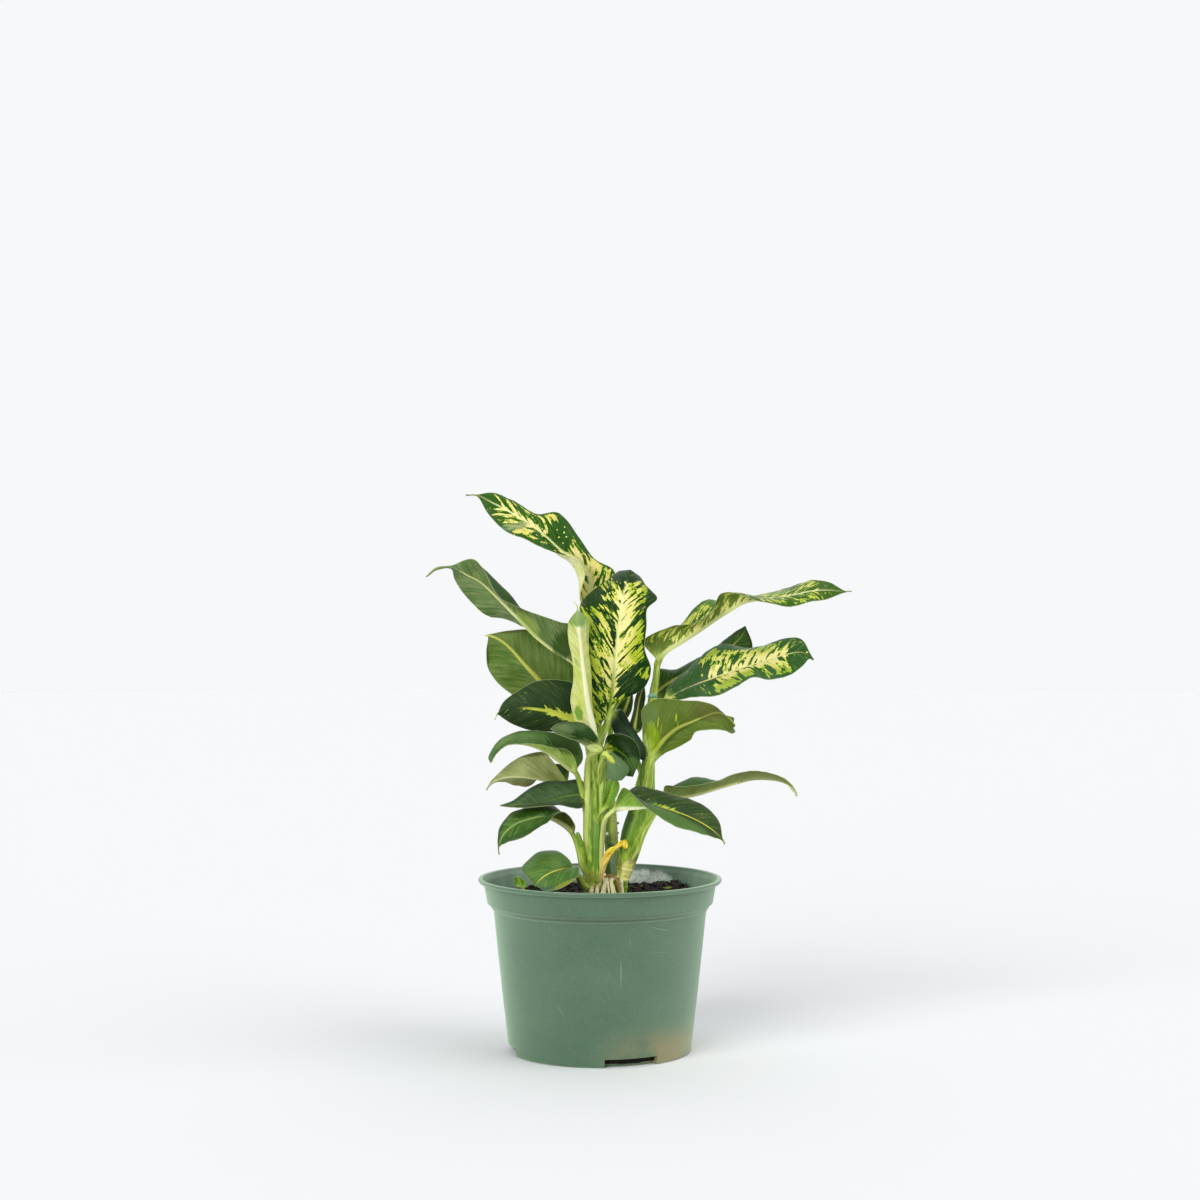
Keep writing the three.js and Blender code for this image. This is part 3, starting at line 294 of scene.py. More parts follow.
# Leaves, from the base of the stalk to the tip. A stalk's row is right, height, depth and radius. A
# blade's row is a point on the rib, one on the left edge, one on the right edge, and the bulge of
# the left and of the right half towards the upper face; left and right are as the upper face is
# looked at with the tip up. The first and the last row of a blade have the rib's point only.
LEAVES = {
    "leaf_01_top_left": {
        "stalk": [[-1, 198, 2, 2.2], [-0.5, 215, 10, 2.1], [-2, 245, 20, 2.0], [-5, 275, 26, 1.9]],
        "blade": [
            [[-6, 289, 27]],
            [[-5.5, 305, 27], [-13.6, 303, 14], [13, 300, 22], -3, 1],
            [[-7, 321, 24], [-9.8, 321, 8], [10, 323, 23], -7, 2],
            [[-15, 331.5, 19], [-16, 330.6, 5], [-3, 331.5, 25], -5, 2],
            [[-26, 337.3, 14], [-28, 335.4, 2], [-14, 346, 22], -2, 2],
            [[-37, 347, 9], [-38, 339.2, -1], [-27.5, 362.6, 16], 0, 2],
            [[-48, 355.5, 5], [-50, 345, -2], [-43, 362.6, 13], 1, 1],
            [[-61, 363.5, 4], [-64, 350.5, -1], [-58, 371, 11], 2, 1],
            [[-73.5, 370, 7], [-75.5, 362, 3], [-71, 376.6, 12], 1, 1],
            [[-83, 374.8, 10], [-83, 374, 9.5], [-83, 375.4, 10.5], 0, 0],
            [[-91, 375, 12]],
        ],
    },
    "leaf_02_left_upper": {
        "stalk": [[-4, 196, 4, 2.2], [-5, 214, 7, 2.1], [-6, 234, 6, 2.0]],
        "blade": [
            [[-8.5, 250, 3]],
            [[-19, 261.5, -4], [-13, 284, 0], [-21, 268, 10], 2, 2],
            [[-31, 269.5, -10], [-27, 289, -9], [-34, 277, 6], 3, 2],
            [[-44, 279.6, -17], [-43, 294.5, -17], [-46, 283, -2], 3, 2],
            [[-56, 292, -25], [-58, 299.8, -34], [-62, 290.4, -13], 5, 1],
            [[-68, 304, -32], [-69, 306.5, -44], [-76, 293.2, -21], 7, 1],
            [[-80, 315.5, -38], [-79.5, 325, -50], [-89, 304, -29], 4, 1],
            [[-90, 321, -43], [-87, 331.8, -48], [-98, 317, -39], 1, 1],
            [[-100, 326, -48], [-100, 327.6, -48.5], [-101, 324.9, -47.5], 0, 0],
            [[-110, 325.4, -52], [-110, 326.2, -52.3], [-110, 324.6, -51.7], 0, 0],
            [[-118, 320, -56]],
        ],
    },
    "leaf_03_left_middle": {
        "stalk": [[-6, 188, 3, 2.2], [-8, 203, 10, 2.1], [-12, 216, 12, 2.0]],
        "blade": [
            [[-18, 226, 9]],
            [[-27, 235.5, 4], [-12, 246, 8], [-38, 229, 6], 2, 2],
            [[-38.5, 247, -3], [-20, 262, 2], [-54, 236.5, -1], 3, 3],
            [[-50, 259.3, -10], [-33, 275, -2], [-67, 245.5, -7], 3, 3],
            [[-60, 270.5, -16], [-47, 283.5, -8], [-75.5, 257, -13], 2, 2],
            [[-68, 277, -21], [-62, 283.2, -15], [-77, 269, -18], 1, 1],
            [[-75, 279.8, -25], [-74.2, 281, -24.5], [-75.8, 278.6, -25], 0, 0],
            [[-78, 279.6, -26]],
        ],
    },
    "leaf_04_left_dark": {
        "stalk": [[-5, 180, -2, 2.1], [-5.5, 196, -8, 2.0], [-6, 208, -10, 1.9]],
        "blade": [
            [[-9, 217, -11]],
            [[-20, 224, -17], [-22, 214, -12], [-15, 244, -12], 2, 2],
            [[-32, 228, -21], [-36, 215, -14], [-27, 249.8, -16], 2, 3],
            [[-44, 230.2, -25], [-48, 216, -17], [-43, 249, -21], 2, 3],
            [[-56, 231, -28], [-59, 220, -24], [-57, 241.5, -25], 1, 2],
            [[-64, 229.5, -31], [-65.5, 223.8, -29.5], [-65.4, 235, -29.5], 0, 0],
            [[-69.3, 227, -33], [-69.8, 226.4, -33], [-69, 227.8, -33], 0, 0],
            [[-71, 223, -34]],
        ],
    },
    "leaf_05_left_arching": {
        "stalk": [
            [-8, 148, 3, 1.5], [-9.6, 160, 0, 1.9], [-11.6, 171, -5, 1.9], [-13.8, 180.5, -11, 1.8]
        ],
        "blade": [
            [[-16.2, 186.8, -16]],
            [[-21, 190, -20], [-16.3, 195, -34], [-11.5, 197, -8], 3, 3],
            [[-29, 196, -26], [-22, 202.3, -42], [-18, 211.5, -12], 3, 3],
            [[-38, 202, -32], [-34, 204.6, -48], [-32, 214, -22], 2, 3],
            [[-49, 206, -38], [-47, 206.8, -52], [-46, 215.4, -28], 2, 2],
            [[-60, 206.6, -44], [-61, 205.6, -54], [-57, 214.6, -35], 1, 2],
            [[-68, 203.4, -50], [-68.5, 201.6, -55], [-68, 209.6, -45], 0, 1],
            [[-73.6, 196, -56], [-72.6, 195.4, -56], [-75.4, 198.6, -55], 0, 0],
            [[-74.2, 193.8, -57]],
        ],
    },
    "leaf_06_left_brown": {
        "stalk": [[-6, 164, 3, 2.0], [-11, 171, 10, 1.9], [-16, 175.5, 14, 1.8]],
        "blade": [
            [[-21, 178, 14]],
            [[-28, 180.6, 8], [-32, 195, -3], [-21.6, 190, 18], 3, -1],
            [[-36, 181.6, 1], [-39, 201, -6], [-34.4, 192, 15], 3, -1],
            [[-46, 183.2, -5], [-51, 198.9, -10], [-46, 178.4, 7], 2, 2],
            [[-56, 184.2, -10], [-61, 193.5, -14], [-57, 178.3, -2], 2, 1],
            [[-66, 183.4, -15], [-68.2, 187, -17], [-66, 180.7, -11], 0, 0],
            [[-73, 180.4, -18], [-73.7, 181.8, -18.5], [-72.6, 179.4, -17.6], 0, 0],
            [[-77.2, 175.3, -20]],
        ],
    },
    "leaf_07_left_low": {
        "stalk": [[-4, 162, 4, 1.8], [-6.6, 170, 4, 1.9]],
        "blade": [
            [[-9, 172.6, 2]],
            [[-16.5, 172, -8], [-12.6, 163.2, -12], [-12.8, 182, -2], 1, 1],
            [[-27, 169.8, -15], [-26, 164.3, -25], [-25, 181.3, -7], 1, 2],
            [[-37, 166.8, -20], [-38, 164.6, -28], [-37, 180.9, -11], 1, 2],
            [[-48, 165.6, -24], [-49, 163.5, -30], [-47.5, 176.6, -17], 1, 2],
            [[-58, 165.2, -29], [-58, 163.5, -31], [-58, 169, -26], 0, 1],
            [[-67.5, 164.8, -33]],
        ],
    },
    "leaf_08_left_drooping": {
        "stalk": [
            [-6.5, 116, -1, 2.2], [-12, 124, -7, 2.0], [-14.4, 134, -8, 1.8], [-16.5, 141, -8, 1.7]
        ],
        "blade": [
            [[-18.4, 145.3, -9]],
            [[-21.5, 149, -11], [-17, 151, -20], [-20, 152, 2], 3, 3],
            [[-27, 152.8, -16], [-22, 158.6, -27], [-27, 160, 0], 3, 3],
            [[-33, 155.8, -21], [-28, 160.4, -33], [-33, 164.8, -6], 2, 3],
            [[-40, 156.7, -26], [-36, 152.8, -38], [-41, 165.2, -12], 1, 3],
            [[-48.5, 155, -31], [-45, 147, -42], [-50.5, 162.8, -20], 1, 2],
            [[-57, 152, -36], [-54, 142.4, -44], [-60.5, 159, -28], 1, 2],
            [[-65, 145.5, -41], [-63, 139.8, -44], [-68.2, 149, -37], 0, 1],
            [[-68.6, 137, -43.5], [-67.9, 137, -43.5], [-69.2, 137.6, -43], 0, 0],
            [[-68.5, 131.5, -44.5]],
        ],
    },
    "leaf_09_resting": {
        "stalk": [[-6, 108, -3, 2.4], [-11.5, 111, -10, 2.4], [-14.5, 116, -17, 2.0]],
        "blade": [
            [[-17, 119.8, -22]],
            [[-21, 121.6, -27], [-14, 122.6, -37], [-22.6, 130, -21], 1, 2],
            [[-26, 121.2, -33], [-15.5, 116, -45], [-31, 134.2, -19], 2, 3],
            [[-32, 119.6, -38], [-24, 110.2, -49], [-43, 132.2, -23], 2, 3],
            [[-38, 116.5, -43], [-32, 107.4, -52], [-53, 122.6, -32], 1, 2],
            [[-42, 112.8, -47], [-38, 107.4, -52], [-49.5, 117, -42], 0, 0],
            [[-44, 110.6, -49.5]],
        ],
    },
    "leaf_10_centre": {
        "stalk": [[-1.5, 198, -2, 2.4], [0, 207, -6, 2.4], [3.4, 217, -8, 2.3]],
        "blade": [
            [[5, 224, -10]],
            [[6.6, 234, -12], [-4.6, 217, -18], [16, 236.4, -12], 1, 1],
            [[8.5, 246, -14], [-10, 241, -20], [29.5, 244, -15], 2, 2],
            [[10, 259, -16], [-14.5, 258, -21], [34.6, 257, -17], 3, 2],
            [[11.5, 273, -17], [-14, 275, -21], [30.4, 270.5, -20], 3, 2],
            [[13, 287, -17], [-11, 290, -18], [31.6, 286, -19], 3, 2],
            [[14.5, 299, -15], [-13.8, 299, -12], [32, 297.5, -17], 2, 2],
            [[16.5, 310, -11], [-8, 308.4, -3], [38.8, 305, -12], 1, 1],
            [[19, 319, -4], [4, 316.6, 5], [31, 313.6, -3], 1, 1],
            [[20.6, 324.4, 4], [13, 323.6, 10], [27, 320, 5], 0, 0],
            [[21, 321, 12]],
        ],
    },
    "leaf_11_pale": {
        "stalk": [[-3, 188, -3, 2.3], [-4, 198, -16, 2.3]],
        "blade": [
            [[-3.4, 208, -26]],
            [[-5, 219, -31], [-2.4, 216, -24], [-16.5, 222, -25], 1, 1],
            [[-7.8, 232, -34], [-4.9, 231, -24], [-19.6, 234, -25], 1, 1],
            [[-9.8, 246, -36], [-5.8, 247, -27], [-18.2, 250, -27], 1, 1],
            [[-11.8, 262, -37], [-7.1, 262, -28], [-18.2, 261, -28], 1, 1],
            [[-13.4, 277, -37], [-7.7, 278, -28], [-21.4, 276, -28], 1, 1],
            [[-14.6, 288, -36], [-8, 290.6, -30], [-22, 288.4, -30], 0, 0],
            [[-15, 297, -34], [-14.3, 297.4, -34], [-15.7, 297, -34], 0, 0],
            [[-17.5, 303, -32]],
        ],
    },
    "leaf_12_dark_lobe": {
        "stalk": [
            [-8.4, 104, -1, 1.4],
            [-9.2, 120, -2.2, 2.0],
            [-9.2, 150, -3, 2.3],
            [-8.8, 176, -5, 2.4],
            [-8.4, 190, -9, 2.2],
            [-7.2, 197.6, -15, 2.0],
            [-4, 200.4, -20, 1.9],
        ],
        "blade": [
            [[0, 202.4, -26]],
            [[-5, 207, -33], [-5.4, 201.6, -36], [-3, 213, -27], 0, 2],
            [[-13, 211, -41], [-13.6, 207.6, -46], [-10, 220, -32], 0, 3],
            [[-22, 213.2, -46], [-23, 210.8, -53], [-20, 221.3, -38], 0, 3],
            [[-29, 215.4, -50], [-30, 213, -54], [-29, 220.4, -45], 0, 1],
            [[-33.2, 217, -52]],
        ],
    },
    "leaf_13_round_dark": {
        "stalk": [[6.5, 176, 9, 2.0], [3.5, 188, 2, 2.0], [1.8, 198, -6, 1.9]],
        "blade": [
            [[3, 202.6, -11]],
            [[7.6, 203.4, -16], [5.5, 212, -10], [8, 196, -17], 1, 1],
            [[13, 201.6, -20], [15, 213.3, -15], [11, 191, -22], 2, 2],
            [[18, 197.4, -24], [24, 208, -20], [14, 187, -25], 2, 2],
            [[21.6, 191.4, -27], [27.3, 197, -24], [17.4, 185, -27], 1, 1],
            [[22.4, 184.4, -29]],
        ],
    },
    "leaf_14_blue_green": {
        "stalk": [[7, 178, 12, 2.0], [6.6, 196, 18, 2.0], [7, 214, 22, 1.9]],
        "blade": [
            [[9, 226, 20]],
            [[12.4, 223.6, 15], [15, 229.8, 17], [8, 218, 12], 1, 1],
            [[17, 217.4, 9], [20, 221.4, 11], [11.5, 210, 4], 2, 1],
            [[22.5, 210.6, 3], [26, 211.8, 6], [17, 203, -2], 2, 1],
            [[27, 203.8, -3], [31, 204.6, 0], [22.6, 197, -7], 1, 1],
            [[29.6, 198, -8], [31.4, 199.6, -7], [27.6, 196, -9], 0, 0],
            [[30.4, 194.6, -11]],
        ],
    },
    "leaf_15_right_top": {
        "stalk": [
            [32.6, 190, 2, 2.6], [34, 212, 2, 2.5], [36.2, 236, 0, 2.4], [38.4, 256, -2, 2.3]
        ],
        "blade": [
            [[39.6, 262.6, -3]],
            [[45.5, 270, -5], [38, 271, 9], [29.4, 276, -9], 1, 1],
            [[56, 276.6, -7], [52, 284, 10], [46, 285.4, -17], 1, 2],
            [[68, 284.2, -9], [63.5, 298, 9], [63.6, 288.6, -21], 1, 2],
            [[79, 291.6, -11], [73, 304.4, 9], [75.6, 295.4, -25], 1, 3],
            [[88.5, 297.4, -13], [84, 303, 9], [81.4, 307.6, -23], 1, 3],
            [[98, 302.6, -15], [98, 306.2, 7], [92, 308.6, -29], 1, 3],
            [[108, 304.4, -17], [108, 308, 2], [106, 303.8, -33], 1, 2],
            [[120, 305.6, -19], [119, 309.8, 0], [120, 301, -31], 1, 1],
            [[132, 307.5, -19], [133, 313.7, -3], [131, 299.5, -29], 1, 1],
            [[144, 310, -17], [145, 317, -6], [142, 302.8, -25], 1, 1],
            [[155, 310.6, -15], [155, 316, -9], [153, 304.6, -20], 0, 0],
            [[166, 309.6, -12], [166, 310.2, -12], [166, 309, -12.4], 0, 0],
            [[170.5, 310, -11]],
        ],
    },
    "leaf_16_right_middle": {
        "stalk": [[32, 186, 2, 2.6], [34.4, 205, 6, 2.4], [38, 222, 5, 2.3]],
        "blade": [
            [[43, 233, 1]],
            [[53, 241, -4], [47, 246, 6], [54, 236.6, -12], 1, 2],
            [[65, 246.4, -9], [59.5, 257, 6], [67, 238.6, -20], 2, 3],
            [[78, 251.4, -12], [72, 269.2, 4], [80, 239.8, -23], 3, 3],
            [[90, 255.8, -14], [85, 274.2, 4], [93, 245, -25], 3, 2],
            [[102, 259.6, -16], [99, 271.6, 1], [104, 251.6, -26], 3, 2],
            [[114, 263.4, -18], [112, 273.6, -3], [115, 250, -28], 2, 2],
            [[126, 267, -19], [125, 277.8, -8], [128, 252.8, -27], 1, 1],
            [[136, 268.6, -20], [136.5, 277.6, -14], [137, 259, -24], 0, 0],
            [[142, 265.8, -21], [142.6, 267.6, -20.6], [141.4, 263.8, -21.4], 0, 0],
            [[144.8, 263.3, -21]],
        ],
    },
    "leaf_17_behind": {
        "stalk": [[32.6, 188, 5, 2.4], [31, 206, 14, 2.2], [31, 222, 20, 2.1]],
        "blade": [
            [[34, 235, 22]],
            [[43, 245, 25], [38, 256, 30], [48, 236, 18], 2, 2],
            [[55, 252, 28], [52, 256.6, 36], [62, 241, 18], 2, 2],
            [[68, 258, 31], [66, 264, 40], [76, 247, 20], 2, 2],
            [[80, 265, 33], [79, 272, 42], [89, 255, 22], 2, 2],
            [[91, 274, 35], [89, 280.6, 40], [100, 265, 27], 1, 1],
            [[97, 281, 36], [95, 284.6, 38], [103.4, 273.4, 32], 0, 0],
            [[98.6, 286.4, 37]],
        ],
    },
    "leaf_18_right_curled": {
        "stalk": [[31, 170, -3, 3.0], [32.4, 180, -10, 3.1], [33.6, 189, -17, 2.8]],
        "blade": [
            [[35.4, 196, -23]],
            [[39.6, 203.4, -27], [43, 199.8, -31], [31, 214, -20], 1, 2],
            [[45, 210.8, -30], [52, 203.8, -36], [28.4, 228.6, -20], 2, 4],
            [[52.5, 217, -33], [61, 208.8, -39], [38, 237.2, -22], 2, 4],
            [[62, 221, -35], [65, 215, -40], [56, 236, -24], 1, 3],
            [[71, 225, -36], [76, 216.3, -40], [69, 235.4, -27], 1, 2],
            [[79, 227.4, -37], [85, 215.4, -40], [79, 231.8, -31], 1, 1],
            [[86, 225, -35], [89.4, 213.6, -38], [85.6, 226.6, -30], 2, 1],
            [[91, 219.4, -30], [91, 214.6, -31], [90.4, 224, -25], 1, 1],
            [[89.6, 218.4, -22]],
        ],
    },
    "leaf_19_right_low": {
        "stalk": [
            [25.2, 132, -1, 1.5],
            [28.9, 145, -2, 2.2],
            [32.8, 154, 0, 2.7],
            [37.4, 162, 8, 2.6],
            [40.6, 167.4, 15, 2.1],
        ],
        "blade": [
            [[43, 170.4, 18]],
            [[49, 170.8, 17], [46, 176, 26], [44.4, 178.2, 9], 1, 1],
            [[58, 171.3, 14], [61, 183.2, 25], [56, 178.2, 3], 2, 2],
            [[68, 173.2, 11], [69, 184, 23], [68, 178.9, -1], 2, 2],
            [[79, 176.4, 8], [79, 182, 20], [80, 181.6, -3], 1, 2],
            [[91, 179.7, 5], [90, 184, 15], [91, 185.8, -4], 1, 2],
            [[103, 182.6, 2], [102, 186, 12], [103, 188.5, -5], 1, 2],
            [[115, 182.6, -1], [114, 185, 7], [115, 186.8, -6], 1, 1],
            [[125, 180.4, -3], [125, 181.4, 2], [126, 182.6, -6], 0, 0],
            [[131.4, 175.4, -5], [131, 175.2, -4], [132.2, 176, -6], 0, 0],
            [[133.6, 171, -6]],
        ],
    },
    "leaf_20_front_right": {
        "stalk": [
            [-0.2, 108, -3, 1.4], [0.8, 126, -5.4, 1.5], [1.6, 143, -14, 1.7], [3.6, 155, -27, 1.7]
        ],
        "blade": [
            [[9, 161, -35]],
            [[15.5, 162.8, -38], [15, 170, -26], [12.6, 172, -47], 2, 3],
            [[24, 163.3, -42], [25, 177.6, -30], [17, 177, -54], 3, 3],
            [[33, 163.8, -45], [37, 175.5, -34], [27, 167, -60], 3, 2],
            [[43, 162.7, -47], [49, 172, -38], [38, 158.2, -62], 2, 2],
            [[54, 159.4, -49], [61, 169, -42], [50, 151, -62], 2, 2],
            [[65, 154.8, -51], [73, 163, -46], [63, 147.6, -60], 2, 1],
            [[75, 149, -53], [80.6, 154, -50], [74, 144.2, -57], 1, 0],
            [[82.4, 142.4, -54], [83, 143, -54], [82, 141.4, -54], 0, 0],
            [[84.6, 138.4, -54.5]],
        ],
    },
    "leaf_21_small_green": {
        "stalk": [[-2, 151, -2, 1.2], [-0.9, 156.4, -9, 1.5]],
        "blade": [
            [[1.2, 161, -17]],
            [[4, 167, -19], [1.6, 166.6, -21], [8.4, 166, -22], 0, 0],
            [[6.6, 173, -21], [2.8, 173.4, -23], [12.4, 173.4, -24], 0, 0],
            [[8.6, 179, -22], [4.6, 180, -23], [13, 179.4, -23], 0, 0],
            [[9.6, 184.4, -22]],
        ],
    },
    "leaf_22_new_shoot": {
        "stalk": [[-50, 93, -34, 1.2], [-50.6, 102, -35, 1.2]],
        "blade": [
            [[-52, 109, -36]],
            [[-53.6, 112, -37], [-49.6, 110, -38], [-58, 111, -36], 1, 1],
            [[-55, 115, -38], [-51, 113.4, -39], [-58, 114.6, -37], 1, 1],
            [[-56.6, 117, -39]],
        ],
    },
    "leaf_23_middle_back": {
        "stalk": [[7.4, 168, 15, 1.8], [10, 186, 26, 1.7], [12, 206, 30, 1.6]],
        "blade": [
            [[13.6, 220, 29]],
            [[16, 228, 28], [11, 228, 28], [20, 226, 30], 1, 1],
            [[19, 236, 27], [12, 238, 27], [22, 234, 30], 1, 1],
            [[21, 245, 28]],
        ],
    },
    "leaf_24_hanging": {
        "stalk": [[31, 178, 6, 2.0], [25, 196, 12, 1.9], [23, 208, 13, 1.8]],
        "blade": [
            [[23.4, 213.4, 12]],
            [[24, 219, 10], [20, 221, 14], [28.6, 217, 8], 1, 1],
            [[25.6, 228, 9], [22.6, 229, 17], [30, 228, 5], 1, 1],
            [[27, 237, 9], [24.6, 240, 16], [31, 237, 6], 1, 1],
            [[30, 246, 10]],
        ],
    },
    "leaf_25_hanging_lobe": {
        "stalk": [[-1, 174, 2, 1.5], [-0.6, 183, -6, 1.8], [0.6, 192, -18, 1.9]],
        "blade": [
            [[3, 199.6, -29]],
            [[6, 197.8, -33], [8.6, 200.6, -30], [3.8, 194, -33], 1, 1],
            [[10, 193, -37], [15, 196, -34], [4, 186.4, -35], 2, 2],
            [[13, 187.6, -39], [19.6, 189, -36], [7, 181.6, -37], 1, 1],
            [[15, 182, -39]],
        ],
    },
}

# Where old scar rings lie along a stem, mm from its foot.
STEM_RINGS = {"stem_left": (16, 22), "stem_middle": (20, 31, 44, 57), "stem_right": (14, 19, 26)}

# Ovals of another colour on the stems and their sheaths, with colour and strength; those noted
# below paint light and shade.
STEM_PATCHES = {
    "stem_left": (
        # Pale strip down the stem's left side: its pale fibres, brighter with painted light from
        # the left
        (-9.6, 160, -5, 1.6, 50, 0, "#dcea86", 0.85),
        (-5.4, 165, -5, 1.2, 40, 0, "#4f6f1f", 0.7),
        (-6, 114, -5, 7, 7, 0, "#9a9c46", 0.7),
        (-10, 132, -4, 1.6, 9, 0, "#7a6a34", 0.5),
    ),
    "stem_middle": (
        (8.6, 124, 8, 2.2, 10, 0, "#b4c8ba", 0.8),
        (5.6, 124, 8, 1.2, 12, 0, "#5c8260", 0.7),
        (9.4, 150, 8, 2.4, 13, 0, "#e0ec84", 0.8),
    ),
    "stem_right": (
        (16.2, 147, -6, 3.4, 20, -20, "#2a4a14", 0.95),
        # Painted highlight along the stem's right edge
        (28.6, 140, -3, 1.2, 16, -30, "#dbe392", 0.95),
        (18.0, 120, -4, 4.8, 8, -20, "#eeee92", 0.95),
        (13.6, 124, -4, 1.4, 7, 0, "#8d6a4a", 0.6),
        (21.0, 127, -4, 1.8, 2.2, 20, "#b58e72", 0.6),
        (24, 150, -6, 4.0, 16, -22, "#5c8408", 0.7),
    ),
    "wrap_left_low": (
        (-2.4, 140, -6, 3.4, 20, 0, "#5c8c2e", 0.8), (-3.6, 114, -6, 5, 6, 0, "#7f8f4a", 0.6)
    ),
    # Painted shade: a dark line down the sheath's right side
    "wrap_left_high": ((-1.4, 170, -5, 1.0, 22, 0, "#47661d", 0.7),),
    "wrap_left_back": (
        (0.6, 182, -4, 1.4, 16, 0, "#c6d676", 0.7), (2.4, 165, -4, 1.6, 12, 0, "#59802c", 0.6)
    ),
    "wrap_right_side": ((26.4, 176, -4, 1.8, 22, 0, "#4a7010", 0.8),),
}

# The withered sheath: right, height, depth, half width and half thickness.
SHEATH = [
    [0.4, 113, -13.6, 0.8, 0.7],
    [1.4, 120, -15, 1.5, 0.7],
    [4.0, 129.4, -15, 2.6, 0.7],
    [7.6, 134.2, -15, 1.9, 0.8],
    [12, 137, -15, 1.5, 1.0],
    [15.4, 139.6, -15, 2.2, 1.6],
    [17.2, 137.4, -16, 1.8, 1.3],
    [17.6, 135.6, -16.6, 0.8, 0.7],
]


def leaf_look(*kinds, **changes):
    """How one leaf is coloured; what no kind and no change names is that of a plain leaf."""
    look = {
        "slot": "leaf_dark_green",
        "dark": "#1b3a10",
        "mid": "#3a6412",
        "gold": "#8ea520",
        "cream": "#c3c94c",
        "pale": "#e6e68f",
        "dots": 0.0,  # how much lighter small round dots are than the green round them
        "lines": 0.08,  # how clearly fine lateral veins show on the underside
        "amount": -0.2,  # how much of the blade is cream: 0 is half of it
        "rib_boost": 0.0,  # more cream beside the midrib
        "rib_reach": 4.0,  # how far from the midrib that goes, mm
        "reach_end": 0.8,  # share of the blade at which the boost has faded
        "rim": 3.0,  # width of the green margin, mm
        "slivers": 0.0,  # how strongly dark slivers cut into the cream
        "outer_cream": 0.62,  # the lightest tone near the margin
        "streak": (2.4, 13.0),  # width and length of a streak, mm
        "slant": 1.3,  # how steeply the lateral veins run forward
        "rib": "#c6cd6c",
        "rib_foot": "",  # colour of the midrib at its base, if it is another one
        "rib_width": (1.3, 0.5),  # half width of the midrib's colour at the base and the tip, mm
        "rib_end": 1.0,  # share of the blade at which the midrib's colour has faded
        "under": "#6f8a4a",
        "under_dark": "#4c6a2e",
        "under_rib": "#ccd08c",
        "under_show": 0.0,  # how much of the upper pattern shows on the underside
        "bloom": 0.05,  # painted grey-blue sheen on the upper face: the sky's reflection
        "stalk": "#94b43a",
        "rough": 0.42,
        "seed": 0.0,
        "fields": (),  # ovals with more or less cream, and by how much
        "patches": (),  # ovals of another colour, with colour and strength
        "one_sided": False,  # whether they lie on the upper face only
    }
    for kind in kinds:
        look.update(kind)
    look.update(changes)
    if look["rib_boost"] == 0:
        look.update(cream=look["mid"])
    return look


VARIEGATED = {
    "slot": "leaf_variegated",
    "amount": 0.1,
    "rib_boost": 0.12,
    "rib_reach": 10.0,
    "reach_end": 1.1,
    "slivers": 0.55,
    "outer_cream": 0.545,
    "dark": "#0d3004",
    "mid": "#46800a",
    "gold": "#84a00a",
    "cream": "#cbc75e",
    "pale": "#e2da94",
    "streak": (3.4, 7.0),
    "dots": 0.5,
    "bloom": 0.0,
    "under": "#e3e6a6",
    "under_dark": "#9fb65c",
    "under_show": 0.55,
    "rib": "#dfe3a4",
}
OLIVE = {"slot": "leaf_olive"}

